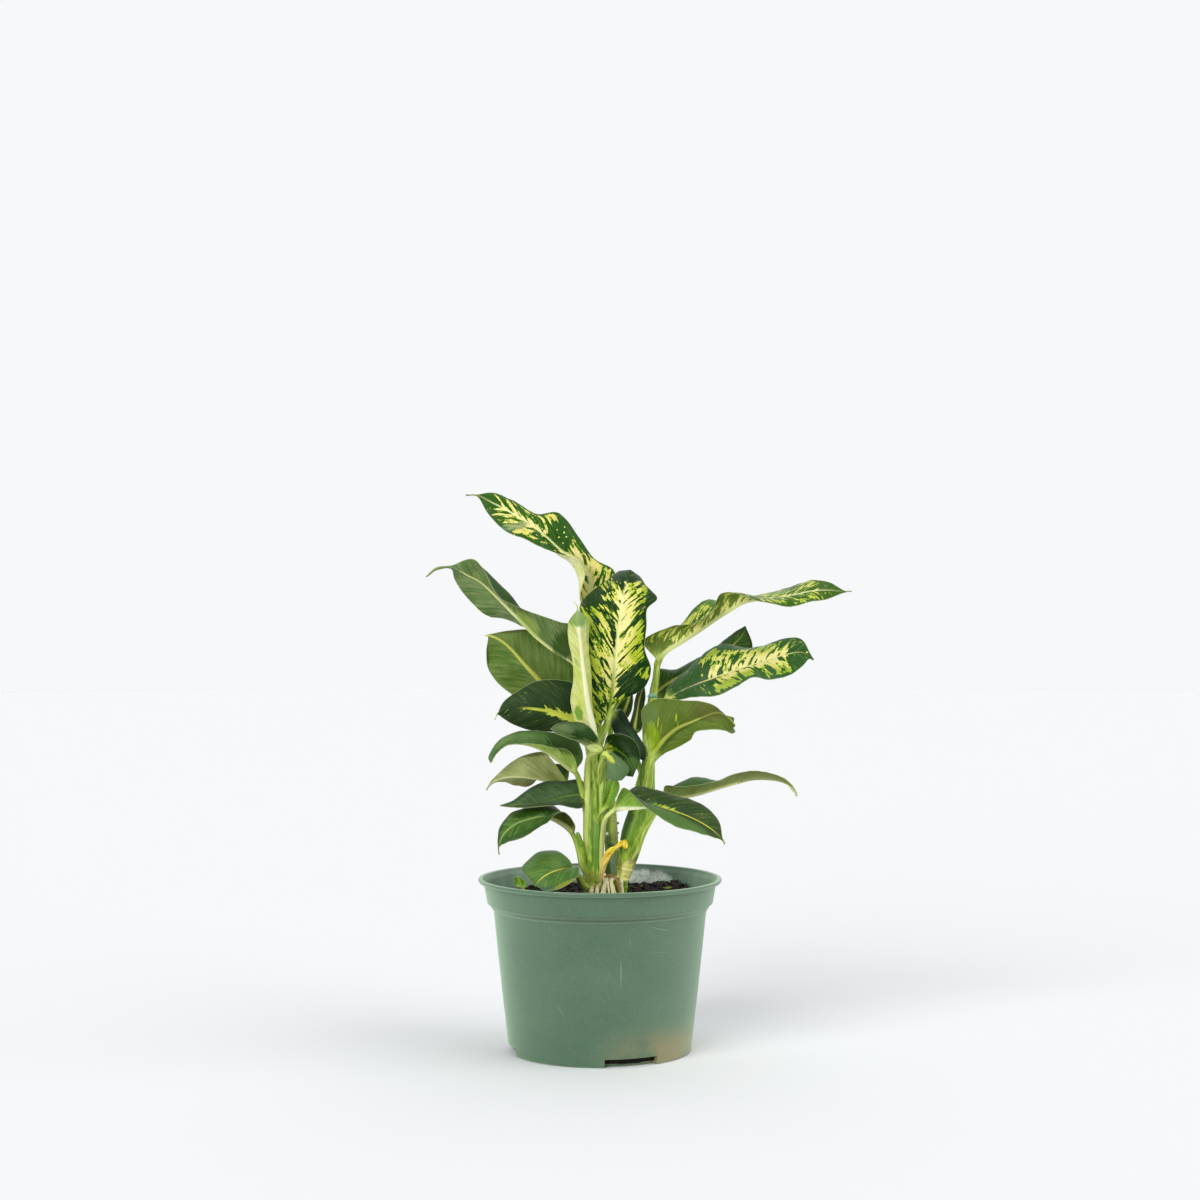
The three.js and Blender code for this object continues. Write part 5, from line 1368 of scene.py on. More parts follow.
def leaf_material(leaf_name, look):
    """Dieffenbachia leaf: living leaf under a waxy skin. Lateral veins run forward from the midrib,
    the cream is broken into streaks along them, and a soft grey-blue sheen, the reflection of the
    sky, is painted onto the upper face."""
    material, shader, add = new_material("waxy_" + leaf_name, look["rough"], 1.42, 0.13)
    along, across, edge, share, under, flat = (
        add("Attribute", out="Fac", attribute_name=mark) for mark in LEAF_MARKS
    )
    place = add("TexCoord", out="Object")
    reach = add("Math", across, operation="ABSOLUTE")
    side = add("Math", across, operation="SIGN")

    # Streaks as wide and as long as the look says, in millimetres, and apart for the two halves
    wide, long = look["streak"]
    slanted = add("Math", reach, look["slant"], operation="MULTIPLY")
    vein = add("Math", along, slanted, operation="SUBTRACT")
    lane = add("Math", side, 7.3, look["seed"], operation="MULTIPLY_ADD")
    over_veins = add("Math", vein, wide, operation="DIVIDE")
    along_veins = add("Math", reach, long, operation="DIVIDE")
    flow = add("CombineXYZ", over_veins, along_veins, lane)
    streaks = add("TexNoise", flow, 1.0, 2.0, 0.55, 2.0, 0.6)
    narrow = add("VectorMath", flow, (1.9, 1.7, 1.0), operation="MULTIPLY")
    grain = add("TexNoise", narrow, 1.0, 2.0, 0.5, 2.0, 0.5)
    shifted = add("VectorMath", flow, (1.1, 0.9, 2.7), operation="MULTIPLY")
    slivers = add("TexNoise", shifted, 1.0, 0.0, 0.5, 2.0, 0.5)

    # On the flat blade in millimetres: flecks of 1.3 mm, a drift of 14 mm and dots 3.3 mm apart
    flat_place = add("CombineXYZ", along, across, look["seed"])
    fine = add("TexNoise", flat_place, 0.75, 2.0, 0.5)
    drift = add("TexNoise", flat_place, 0.07, 1.0)
    cells = add("TexVoronoi", flat_place, 0.3)

    # How much cream there is at each place: streaks, more by the midrib, none along the margin
    near_rib = add("MapRange", reach, look["rib_reach"], 0.0)
    near_base = add("MapRange", share, look["reach_end"], look["reach_end"] * 0.5)
    boost = add("Math", near_rib, near_base, operation="MULTIPLY")
    level = 0.5 + look["amount"] - 0.5 * (STREAKS_PULL + GRAIN_PULL + FLECKS_PULL + DRIFT_PULL)
    field = add("Math", streaks, STREAKS_PULL, level, operation="MULTIPLY_ADD")
    sliver = add("MapRange", slivers, 0.52, 0.66)
    ragged_edge = add("Math", edge, 2.0, operation="SUBTRACT")
    ragged_edge = add("Math", grain, 4.0, ragged_edge, operation="MULTIPLY_ADD")
    rim = add("MapRange", ragged_edge, look["rim"] + 1.0, look["rim"] - 0.6)
    dot = add("MapRange", cells, 0.2, 0.13)
    dot = add("Math", dot, add("MapRange", drift, 0.45, 0.5), operation="MULTIPLY")
    pulls = [
        (grain, GRAIN_PULL),
        (fine, FLECKS_PULL),
        (drift, DRIFT_PULL),
        (boost, look["rib_boost"] * 2),
        (sliver, -look["slivers"]),
        (rim, -0.8),
        (dot, look["dots"]),
    ]
    for *oval, lift in look["fields"]:
        pulls.append((inside_oval(add, place, oval, streaks), lift))
    for pattern, pull in pulls:
        field = add("Math", pattern, pull, field, operation="MULTIPLY_ADD")

    # The cream is clear beside the midrib and turns yellow-green towards the margin
    half_width = add("Math", reach, edge, operation="ADD")
    outward = add("Math", reach, half_width, operation="DIVIDE")
    outward = add("Math", drift, 0.8, outward, operation="MULTIPLY_ADD")
    clearest = add("MapRange", outward, 0.5, 1.1, 0.9, look["outer_cream"])
    field = add("Math", field, clearest, operation="MINIMUM")
    pattern = add("ValToRGB", field)
    stops = ((0.36, "dark"), (0.46, "mid"), (0.53, "gold"), (0.62, "cream"), (0.85, "pale"))
    if look["cream"] == look["mid"]:
        stops = ((0.0, "dark"), (0.65, "mid"))
    set_stops(pattern.node.color_ramp, [(stop, look[name]) for stop, name in stops])

    # Fine veins a little lighter than the blade, the midrib, and a painted grey-blue sheen: the
    # reflection of the sky
    lines = add("MapRange", grain, 0.45, 0.8)
    faint = add("Math", lines, 0.08, operation="MULTIPLY")
    upper = add("Mix", faint, pattern, look["rib"])
    rib_base, rib_tip = look["rib_width"]
    rib_half = add(
        "MapRange", share, 0.0, 1.0, rib_base, rib_tip, interpolation_type="LINEAR"
    )
    rib_ratio = add("Math", reach, rib_half, operation="DIVIDE")
    on_rib = add("Math", grain, 0.8, rib_ratio, operation="MULTIPLY_ADD")
    on_rib = add("MapRange", on_rib, 1.9, 0.7)
    rib_fade = add("MapRange", share, look["rib_end"], look["rib_end"] * 0.75)
    rib_share = add("Math", on_rib, rib_fade, operation="MULTIPLY")
    past_foot = add("MapRange", share, 0.1, 0.4)
    rib_tint = add("Mix", past_foot, look["rib_foot"] or look["rib"], look["rib"])
    upper = add("Mix", rib_share, upper, rib_tint)
    # Painted sheen: the sky's grey-blue reflection mixed into the upper face's colour
    bloom = add("MapRange", drift, 0.3, 0.7, 0.4, 1.0)
    bloom = add("Math", bloom, look["bloom"], operation="MULTIPLY")
    upper = add("Mix", bloom, upper, "#8b9b86")

    # Underside: paler, with the upper pattern showing through, darker between the veins
    dull = add("Math", drift, 0.6, operation="MULTIPLY")
    dull = add("Math", streaks, 0.7, dull, operation="MULTIPLY_ADD")
    lower = add("Mix", add("MapRange", dull, 0.45, 0.85), look["under"], look["under_dark"])
    mottled = add("MapRange", fine, 0.42, 0.7, 0.0, 0.45)
    lower = add("Mix", mottled, lower, look["under_dark"])
    lower = add("Mix", look["under_show"], lower, pattern)
    lined = add("Math", lines, look["lines"], operation="MULTIPLY")
    lower = add("Mix", lined, lower, look["under_rib"])
    lower = add("Mix", add("MapRange", rib_ratio, 1.9, 0.5), lower, look["under_rib"])

    colour = add("Mix", under, upper, lower)
    on_top = add("Math", 1.0, under, operation="SUBTRACT")
    for *oval, code, strength in look["patches"]:
        inside = inside_oval(add, place, oval, grain)
        if look["one_sided"]:
            inside = add("Math", inside, on_top, operation="MULTIPLY")
        inside = add("Math", inside, strength, operation="MULTIPLY")
        colour = add("Mix", inside, colour, code)
    thin_edge = add("MapRange", edge, 0.5, 0.15, 0.0, 0.5)
    thin_edge = add("Math", thin_edge, flat, operation="MULTIPLY")
    colour = add("Mix", thin_edge, colour, "#a9b47c")

    # Stripes about 14 mm long down the stalk
    stretched = add("Math", along, 18.0, operation="DIVIDE")
    stripes = add("TexNoise", add("CombineXYZ", stretched, across, under), 1.3)
    stalk = add("Mix", add("MapRange", stripes, 0.35, 0.7), look["stalk"], "#d6e284")
    feed(shader, "Base Color", add("Mix", flat, stalk, colour))

    rough = add("Math", fine, 0.16, look["rough"] - 0.08, operation="MULTIPLY_ADD")
    feed(shader, "Roughness", add("Math", under, 0.1, rough, operation="MULTIPLY_ADD"))
    skin = add("Math", fine, 0.5, operation="MULTIPLY")
    skin = add("Math", grain, 0.7, skin, operation="MULTIPLY_ADD")
    feed(shader, "Normal", add("Bump", 0.7, 0.25 * MM, None, skin))
    return material


def stem_material(name, light, base, dark, patches):
    """Living stem: smooth green skin with long pale fibres, and dark dots towards its foot."""
    material, shader, add = new_material(name, 0.36, 1.42)
    along, side, back = (
        add("Attribute", out="Fac", attribute_name=mark) for mark in LIMB_MARKS
    )
    place = add("TexCoord", out="Object")
    # Fibres are about 9 mm long and a third of the stem's radius wide
    ring = add("CombineXYZ", side, back, add("Math", along, 26.0, operation="DIVIDE"))
    fibres = add("TexNoise", ring, 3.0, 3.0, 0.6)
    blotch = add("TexNoise", place, per_mm(8.3333), 2.0)
    fine = add("TexNoise", place, per_mm(1.4286), 2.0)
    colour = add("Mix", add("MapRange", fibres, 0.36, 0.64), base, light)
    colour = add("Mix", add("MapRange", blotch, 0.52, 0.7, 0.0, 0.6), colour, dark)
    for *oval, code, strength in patches:
        inside = inside_oval(add, place, oval, fibres)
        inside = add("Math", inside, strength, operation="MULTIPLY")
        colour = add("Mix", inside, colour, code)
    colour = add("Mix", add("MapRange", fine, 0.5, 0.75, 0.0, 0.25), colour, dark)
    dots = add("TexVoronoi", place, per_mm(3.8462))
    low = add("MapRange", add("SeparateXYZ", place, out="Z"), 130 * MM, 112 * MM)
    dot = add("Math", add("MapRange", dots, 0.20, 0.12), low, operation="MULTIPLY")
    feed(shader, "Base Color", add("Mix", dot, colour, "#2c2013"))
    feed(shader, "Roughness", add("Math", blotch, 0.2, 0.26, operation="MULTIPLY_ADD"))
    skin = add("Math", fibres, dot, operation="ADD")
    feed(shader, "Normal", add("Bump", 0.8, 0.3 * MM, None, skin))
    return material


def root_material(name, light, stained):
    """Living root: corky skin with tan stains and grains of peat stuck to it."""
    material, shader, add = new_material(name, 0.7)
    place = add("TexCoord", out="Object")
    stain = add("TexNoise", place, per_mm(3.3333), 3.0, 0.6)
    grit = add("TexNoise", place, per_mm(1.1111), 2.0)
    colour = add("Mix", add("MapRange", stain, 0.45, 0.8), light, stained)
    colour = add("Mix", add("MapRange", grit, 0.6, 0.75, 0.0, 0.35), colour, "#3a2a18")
    feed(shader, "Base Color", colour)
    feed(shader, "Roughness", add("Math", stain, 0.3, 0.55, operation="MULTIPLY_ADD"))
    feed(shader, "Normal", add("Bump", 1.0, 0.4 * MM, None, stain))
    return material


def sheath_material():
    """Withered leaf sheath: thin dry plant skin, saturated yellow with tan folds."""
    material, shader, add = new_material("withered_skin", 0.5)
    along, side, back = (
        add("Attribute", out="Fac", attribute_name=mark) for mark in LIMB_MARKS
    )
    # Folds are about 3.5 mm long
    flow = add("CombineXYZ", add("Math", along, 9.0, operation="DIVIDE"), side, back)
    folds = add("TexNoise", flow, 2.6, 3.0, 0.6)
    colour = add("Mix", add("MapRange", folds, 0.38, 0.6), "#d2a818", "#f4de48")
    colour = add("Mix", add("MapRange", along, 22.0, 8.0, 0.0, 0.85), colour, "#cdbb6e")
    feed(shader, "Base Color", colour)
    feed(shader, "Roughness", add("Math", folds, 0.3, 0.35, operation="MULTIPLY_ADD"))
    feed(shader, "Normal", add("Bump", 1.0, 0.6 * MM, None, folds))
    return material


def pot_material(settings):
    """Injection-moulded polypropylene: satin grey-green skin with a fine grain, dusty scuffs,
    a few long scratches and peat stains near the foot, and painted shade with some grime in the
    corners of the collar's step; water marks dull the inner wall."""
    material, shader, add = new_material("moulded_polypropylene", 0.45, 1.49)
    place = add("TexCoord", out="Object")
    x, z = (add("SeparateXYZ", place, out=axis) for axis in "XZ")
    # Rubs and water marks are six times as high as wide
    stretched = add("VectorMath", place, (1.0, 1.0, 0.16), operation="MULTIPLY")
    cloud = add("TexNoise", place, per_mm(35.714), 3.0, 0.55)
    rubs = add("TexNoise", stretched, per_mm(2.381), 3.0, 0.6)
    # The real grain and dust are about 0.1 mm, too fine to show, so both are drawn coarser.
    grain = add("TexNoise", place, per_mm(0.66667), 2.0)
    dust = add("TexNoise", place, per_mm(0.71429), 3.0, 0.6)
    colour = add(
        "Mix", add("MapRange", cloud, 0.3, 0.75), list(settings.wall), list(settings.wall_light)
    )
    colour = add("Mix", add("MapRange", rubs, 0.66, 0.82, 0.0, 0.3), colour, "#a9bdb0")
    colour = add("Mix", add("MapRange", dust, 0.35, 0.85, 0.0, 0.12), colour, "#a9bbac")
    colour = add("Mix", add("MapRange", grain, 0.4, 0.8, 0.0, 0.14), colour, "#22382c")
    # Dark lines in the corners of the collar's step: painted shade, with some grime
    for height in COLLAR_SHADE_AND_GRIME:
        gap = add("Math", z, height * MM, operation="SUBTRACT")
        gap = add("Math", gap, operation="ABSOLUTE")
        shade_and_grime = add("MapRange", gap, 0.9 * MM, 0.4 * MM, 0.0, 0.95)
        colour = add("Mix", shade_and_grime, colour, "#0c1610")
    for *oval, strength in POT_SCRATCHES:
        line = add("Math", inside_oval(add, place, oval, rubs), strength, operation="MULTIPLY")
        colour = add("Mix", line, colour, "#a5bca9")
    # Peat stains low on the right side of the wall
    stain = add("MapRange", z, 30 * MM, 6 * MM)
    at_right = add("MapRange", x, -10 * MM, 50 * MM)
    for share in (at_right, add("MapRange", cloud, 0.35, 0.6), 0.75):
        stain = add("Math", stain, share, operation="MULTIPLY")
    colour = add("Mix", stain, colour, "#8f7448")

    # Inner wall, from the collar down to the soil: water marks and two pale grey patches
    tide = add("TexNoise", stretched, per_mm(11.111), 3.0, 0.6)
    inside = add("Mix", add("MapRange", tide, 0.35, 0.7), "#6f8878", "#4d6656")
    patch_mottle = add("MapRange", add("TexNoise", place, per_mm(3.0303), 3.0, 0.65), 0.38, 0.6)
    pale_patch = add("Mix", patch_mottle, "#b3beba", "#e6edeb")
    inside = add("Mix", inside_oval(add, place, INNER_PALE_PATCH, tide), inside, pale_patch)
    faint = inside_oval(add, place, INNER_PALE_PATCH_LEFT, tide)
    inside = add("Mix", add("Math", faint, 0.6, operation="MULTIPLY"), inside, "#c9d2d0")
    inside = add("Mix", add("MapRange", z, 105.5 * MM, 101.5 * MM, 0.0, 0.85), inside, "#2b2920")
    inner = add("Attribute", out="Fac", attribute_name="inner")
    feed(shader, "Base Color", add("Mix", inner, colour, inside))

    rough = add("Math", cloud, 0.2, settings.roughness - 0.1, operation="MULTIPLY_ADD")
    feed(shader, "Roughness", rough)
    skin = add("Math", rubs, 0.6, grain, operation="MULTIPLY_ADD")
    feed(shader, "Normal", add("Bump", 0.6, 0.12 * MM, None, skin))
    shader.inputs["Sheen Weight"].default_value = settings.dust
    shader.inputs["Sheen Roughness"].default_value = 0.62
    shader.inputs["Sheen Tint"].default_value = linear("#b9dcb9")
    return material


def soil_material():
    """Damp peat: dark brown fibres and crumbs, with painted shade making the hollows nearly black.
    """
    material, shader, add = new_material("damp_peat", 0.85, specular=0.15)
    place = add("TexCoord", out="Object")
    crumbs = add("TexNoise", place, per_mm(2.381), 4.0, 0.65)
    clods = add("TexNoise", place, per_mm(11.111), 3.0, 0.6)
    # Painted shade: the crumbs noise that makes the bump's hollows also makes them darkest
    colour = add("Mix", add("MapRange", crumbs, 0.35, 0.7), "#080504", "#20150c")
    colour = add("Mix", add("MapRange", clods, 0.55, 0.75, 0.0, 0.5), colour, "#34251a")
    feed(shader, "Base Color", colour)
    feed(shader, "Roughness", add("Math", crumbs, 0.3, 0.6, operation="MULTIPLY_ADD"))
    feed(shader, "Normal", add("Bump", 1.0, 1.2 * MM, None, crumbs))
    return material


def crumb_material():
    """Bark, peat lumps, moss and grit of the potting mix; each bit has its own tint."""
    material, shader, add = new_material("bark_and_moss_bits", 0.8, specular=0.15)
    tint = add("ValToRGB", add("Attribute", out="Fac", attribute_name="tint"))
    ramp = tint.node.color_ramp
    ramp.interpolation = "CONSTANT"
    set_stops(ramp, CRUMB_TINTS)
    place = add("TexCoord", out="Object")
    grain = add("TexNoise", place, per_mm(1.1111), 3.0, 0.6)
    colour = add("Mix", add("MapRange", grain, 0.4, 0.7, 0.0, 0.6), tint, "#140d08")
    feed(shader, "Base Color", colour)
    feed(shader, "Roughness", add("Math", grain, 0.3, 0.6, operation="MULTIPLY_ADD"))
    feed(shader, "Normal", add("Bump", 1.0, 0.5 * MM, None, grain))
    return material


# ---------------------------------------------------------------- pieces


def soil_height(x, y):
    """Height of the peat, in millimetres, at a place on the pot: ripples, a mound and lumps."""
    ripple = 0.9 * math.sin(x * 0.31 + 1.7) * math.cos(y * 0.27 + 0.4)
    grain = 0.6 * math.sin(x * 0.83 - y * 0.61)
    mound = SOIL_MOUND * math.exp(-((x - 50) ** 2 + (y - 42) ** 2) / 500)
    lumps = 1.1 * noise.noise(Vector((x * 0.16, y * 0.16, 3)))
    lumps += 0.7 * noise.noise(Vector((x * 0.5, y * 0.5, 8)))
    return SOIL_LEVEL + ripple + grain + mound + lumps


def is_inside(point):
    """Whether a point of the pot's sheet lies on its inner side: nearer to the axis than the
    middle of the sheet is at the rim, the collar or the wall."""
    reach = math.hypot(point.x, point.y)
    if point.z > RIM_HEIGHT - 2.5:
        return reach < COLLAR_TOP_RADIUS + 0.3
    if point.z > COLLAR_BOTTOM - 0.3:
        share = (point.z - COLLAR_BOTTOM) / (RIM_HEIGHT - 3.2 - COLLAR_BOTTOM)
        return reach < WALL_TOP_RADIUS + 3.8 + (COLLAR_TOP_RADIUS - WALL_TOP_RADIUS - 4.3) * share
    share = (point.z - 4.7) / (WALL_TOP - 4.7)
    middle_of_wall = FOOT_RADIUS + (WALL_TOP_RADIUS - FOOT_RADIUS - 0.5) * share
    return point.z > DRAIN_HEIGHT + SHEET + 0.5 and reach < middle_of_wall


def build_pot(settings):
    """The pot as one moulded shell, with its drain pockets cut into the foot."""
    # Corners of the outline, up the outside and down the inside: radius, height and rounding
    corners = [
        (45, 0, 0),
        (FOOT_RADIUS, 0, 1.2),
        (FOOT_RADIUS + 0.5, 4.7, 1.0),
        (FOOT_RADIUS + 0.62, 5.8, 0.5),
        (66, 38, 2),
        (69, 66, 2),
        (WALL_TOP_RADIUS, WALL_TOP, 0.4),
        (WALL_TOP_RADIUS + 0.9, WALL_TOP + 0.4, 0.1),
        (WALL_TOP_RADIUS + 3.0, COLLAR_BOTTOM - 0.6, 0.5),
        (WALL_TOP_RADIUS + 4.3, COLLAR_BOTTOM, 0.12),
        (COLLAR_TOP_RADIUS, RIM_HEIGHT - 3.2, 0.5),
        (RIM_RADIUS - 0.9, RIM_HEIGHT - 2.9, 0.6),
        (RIM_RADIUS, RIM_HEIGHT - 1.2, 0.9),
        (RIM_RADIUS - 0.4, RIM_HEIGHT, 0.7),
        (RIM_RADIUS - 3.1, RIM_HEIGHT, 0.8),
        (COLLAR_TOP_RADIUS - SHEET, RIM_HEIGHT - 3.8, 0.8),
        (WALL_TOP_RADIUS + 3.2, COLLAR_BOTTOM - 0.2, 0.5),
        (WALL_TOP_RADIUS - SHEET, WALL_TOP - 0.8, 0.5),
        (FOOT_RADIUS + 0.5 - SHEET, 5.2, 0.5),
        (FOOT_RADIUS - 1.4, FLOOR_THICKNESS, 0.8),
        (45, FLOOR_THICKNESS, 0),
    ]
    pot = turned_shell("pot_shell", rounded(corners), POT_SEGMENTS)
    for turn in DRAIN_TURNS:
        # Inner and outer radius, lower and upper height, and half width in degrees
        back = DRAIN_BACK_RADIUS
        shell = (back - SHEET, FOOT_RADIUS - 0.1, 0.05, DRAIN_HEIGHT + SHEET)
        shell = ring_sector("pocket", *shell, turn, DRAIN_HALF_WIDTH + 1.1)
        combine(pot, shell, "UNION")
        space = ring_sector("space", back, 70, -1, DRAIN_HEIGHT, turn, DRAIN_HALF_WIDTH)
        combine(pot, space, "DIFFERENCE")
        hole = ring_sector("hole", 50, 60, 1.0, DRAIN_HEIGHT - 0.8, turn, DRAIN_HOLE_HALF_WIDTH)
        combine(pot, hole, "DIFFERENCE")
    layer = pot.data.attributes.new("inner", "FLOAT", "POINT")
    layer.data.foreach_set("value", [float(is_inside(v.co / MM)) for v in pot.data.vertices])
    smooth_faces(pot, 32)
    finish_piece(pot, pot_material(settings), "pot_plastic", "pot")


def build_soil(settings):
    """The peat, turned to fit the pot and raised to its mound, and the loose bits on it."""
    corners = [
        (45, FLOOR_THICKNESS + SOIL_GAP, 0),
        (FOOT_RADIUS - 3, FLOOR_THICKNESS + SOIL_GAP, 0.5),
        (FOOT_RADIUS - 1.4, 8, 0.5),
        (WALL_TOP_RADIUS - 1.6, WALL_TOP - 0.7, 0.5),
        (WALL_TOP_RADIUS + 2.5, COLLAR_BOTTOM - 0.4, 0.4),
        (WALL_TOP_RADIUS + 2.9, SOIL_LEVEL, 0.4),
    ]
    profile = rounded(corners)
    inward = WALL_TOP_RADIUS + SOIL_STEP
    while inward > SOIL_STEP:
        profile.append(Vector((inward, SOIL_LEVEL)))
        inward -= SOIL_STEP
    soil = turned_shell("soil_fill", profile, SOIL_SEGMENTS)
    for vertex in soil.data.vertices:
        if vertex.co.z > (SOIL_LEVEL - 0.2) * MM:
            x, y = vertex.co.x / MM, vertex.co.y / MM
            edge = smooth(math.hypot(x, y), WALL_TOP_RADIUS + 3, WALL_TOP_RADIUS - 2)
            height = SOIL_LEVEL + (soil_height(x, y) - SOIL_LEVEL) * edge
            vertex.co.z = max(height, SOIL_LOWEST) * MM
    smooth_faces(soil, 60)
    finish_piece(soil, soil_material(), "potting_soil", "soil")
    build_crumbs(settings)


def crumb_shapes():
    """The points and faces of a few lumps and chips of unit size: spheres pushed out of shape."""
    shapes = []
    for k in range(8):
        deselect_all()
        bpy.ops.mesh.primitive_ico_sphere_add(subdivisions=2, radius=1)
        lump = bpy.context.object
        flat = (1.0, 1.0, 0.7) if k < 4 else (1.5, 0.7, 0.35)
        for vertex in lump.data.vertices:
            swell = 1 + 0.7 * noise.noise(vertex.co * 1.3 + Vector((k * 5.1, 0, 0)))
            vertex.co = Vector(c * f * swell for c, f in zip(vertex.co, flat))
        points = [v.co.copy() for v in lump.data.vertices]
        shapes.append((points, [tuple(p.vertices) for p in lump.data.polygons]))
        bpy.data.objects.remove(lump)
    return shapes


def build_crumbs(settings):
    """Bark chips, peat lumps and bits of moss scattered over the peat.

    There are thousands of them, so their copies are gathered into one mesh here: joining as many
    objects would take minutes."""
    chance = random.Random(CRUMB_SEED)
    shapes = crumb_shapes()
    points, faces, tints = [], [], []
    for _ in range(settings.crumbs):
        reach = (WALL_TOP_RADIUS + 1.2) * math.sqrt(chance.random())
        turn = chance.uniform(0, math.tau)
        x, y = reach * math.cos(turn), reach * math.sin(turn)
        # Many bits are fine and a few are large
        size = 0.35 + 1.5 * chance.random() ** 2.4
        shape, polygons = chance.choice(shapes)
        up = Vector((chance.uniform(-0.5, 0.5), chance.uniform(-0.5, 0.5), 1))
        lean = up.to_track_quat("Z", "Y")
        spin = chance.uniform(0, math.tau)
        cosine, sine = math.cos(spin), math.sin(spin)
        base, tint = len(points), chance.random()
        # Moss grows at the right of the pot only
        if tint > MOSS_TINT and x < 5:
            tint -= 0.4
        place = Vector((x, y, soil_height(x, y) + 0.15 * size))
        for p in shape:
            turned = Vector((p.x * cosine - p.y * sine, p.x * sine + p.y * cosine, p.z))
            points.append((lean @ turned * size + place) * MM)
            tints.append(tint)
        faces.extend(tuple(base + k for k in polygon) for polygon in polygons)
    mesh = bpy.data.meshes.new("soil_crumbs")
    mesh.from_pydata(points, [], faces)
    layer = mesh.attributes.new("tint", "FLOAT", "POINT")
    layer.data.foreach_set("value", tints)
    crumbs = bpy.data.objects.new("soil_crumbs", mesh)
    bpy.context.scene.collection.objects.link(crumbs)
    smooth_faces(crumbs, 60)
    finish_piece(crumbs, crumb_material(), "potting_soil")


def ribbed(seed, ridges, rings=()):
    """Relief of a limb: shallow lengthwise ridges, and a scar ring at each given place along it."""

    def relief(along, turn):
        around = Vector((math.cos(turn) * 1.5, math.sin(turn) * 1.5, along * 0.03 + seed))
        lift = 0.3 * noise.noise(around) + ridges * math.sin(5 * turn + seed)
        for place in rings:
            lift += 0.25 * math.exp(-(((along - place) / 0.7) ** 2))
            lift -= 0.25 * math.exp(-(((along - place - 1.5) / 0.7) ** 2))
        return lift

    return relief


def build_stems(settings):
    """The stems with their scar rings, and the leaf sheaths that wrap them."""
    light, base, dark = (list(c) for c in (settings.light, settings.base, settings.dark))
    for name, rows in STEMS.items():
        relief = ribbed(len(name), 0.12, STEM_RINGS[name])
        piece = build_limb(name + "_skin", rows, relief, sides=40, steps_per_span=24)
        skin = stem_material("living_" + name, light, base, dark, STEM_PATCHES[name])
        finish_piece(piece, skin, "stem_skin", name)
    for k, (name, rows) in enumerate(WRAPS.items()):
        piece = build_limb(name, rows, ribbed(k, 0.1), sides=32, steps_per_span=20)
        skin = stem_material("living_" + name, light, base, dark, STEM_PATCHES[name])
        finish_piece(piece, skin, "stem_skin")


def knobbly(depth, pace, seed):
    """Relief of a root, a stub or a withered skin: dents this deep, at this pace along it."""

    def relief(along, turn):
        around = Vector((math.cos(turn), math.sin(turn), along * pace + seed * 7))
        return depth * noise.noise(around) + 0.3 * depth * noise.noise(around * 3.1)

    return relief


def build_roots(settings):
    """The fleshy roots, and the side roots, stubs, scars and bud that the stems bear."""
    light, base, dark = (list(c) for c in (settings.light, settings.base, settings.dark))
    looks = {
        "root": root_material("corky_root", "#eee6bc", "#a89458"),
        "dry": root_material("dry_root", "#96733e", "#5a3c20"),
        "stub": stem_material("living_stub", "#4d6f2c", "#29451a", "#1d3212", ()),
        "cut": stem_material("cut_stub", "#e6ead2", "#c3cfa6", "#a9b98a", ()),
        "scar": stem_material("corky_scar", "#5c5a2c", "#3d3a20", "#241d12", ()),
        "bud": stem_material("living_bud", light, base, dark, ()),
        "cap": stem_material("sheath_tip", "#6c967c", "#628c70", "#52785e", ()),
    }
    for k, (name, rows) in enumerate(ROOTS.items()):
        relief = knobbly(0.4, 0.35, k)
        piece = build_limb(name + "_skin", rows, relief, sides=24, steps_per_span=16)
        finish_piece(piece, looks["root"], "root_skin", name)
    for k, (name, (look, rows)) in enumerate(TWIGS.items()):
        relief = knobbly(0.3, 0.5, k + 5)
        piece = build_limb(name, rows, relief, sides=18, steps_per_span=10)
        finish_piece(piece, looks[look], "root_skin" if look in ("root", "dry") else "stem_skin")


def build_sheath():
    """The withered leaf sheath that hangs at the stem feet."""
    relief = knobbly(1.0, 0.15, 2)
    piece = build_limb("withered_sheath_skin", SHEATH, relief, sides=48, steps_per_span=14)
    finish_piece(piece, sheath_material(), "dry_sheath", "withered_sheath")


def build_leaves():
    """Every leaf, each with its own look."""
    for name, leaf in LEAVES.items():
        look = LEAF_LOOKS[name]
        finish_piece(build_leaf(name, leaf), leaf_material(name, look), look["slot"], name)


def soft_lamp(name, place, strength, degrees, colour=(1, 1, 1)):
    """A broad far softbox that shines from a place towards the pot."""
    data = bpy.data.lights.new(name, "SUN")
    data.angle = math.radians(degrees)
    data.energy = strength
    data.color = colour
    lamp = bpy.data.objects.new(name, data)
    lamp.location = place
    lamp.rotation_euler = (-Vector(place)).to_track_quat("-Z", "Y").to_euler()
    bpy.context.scene.collection.objects.link(lamp)


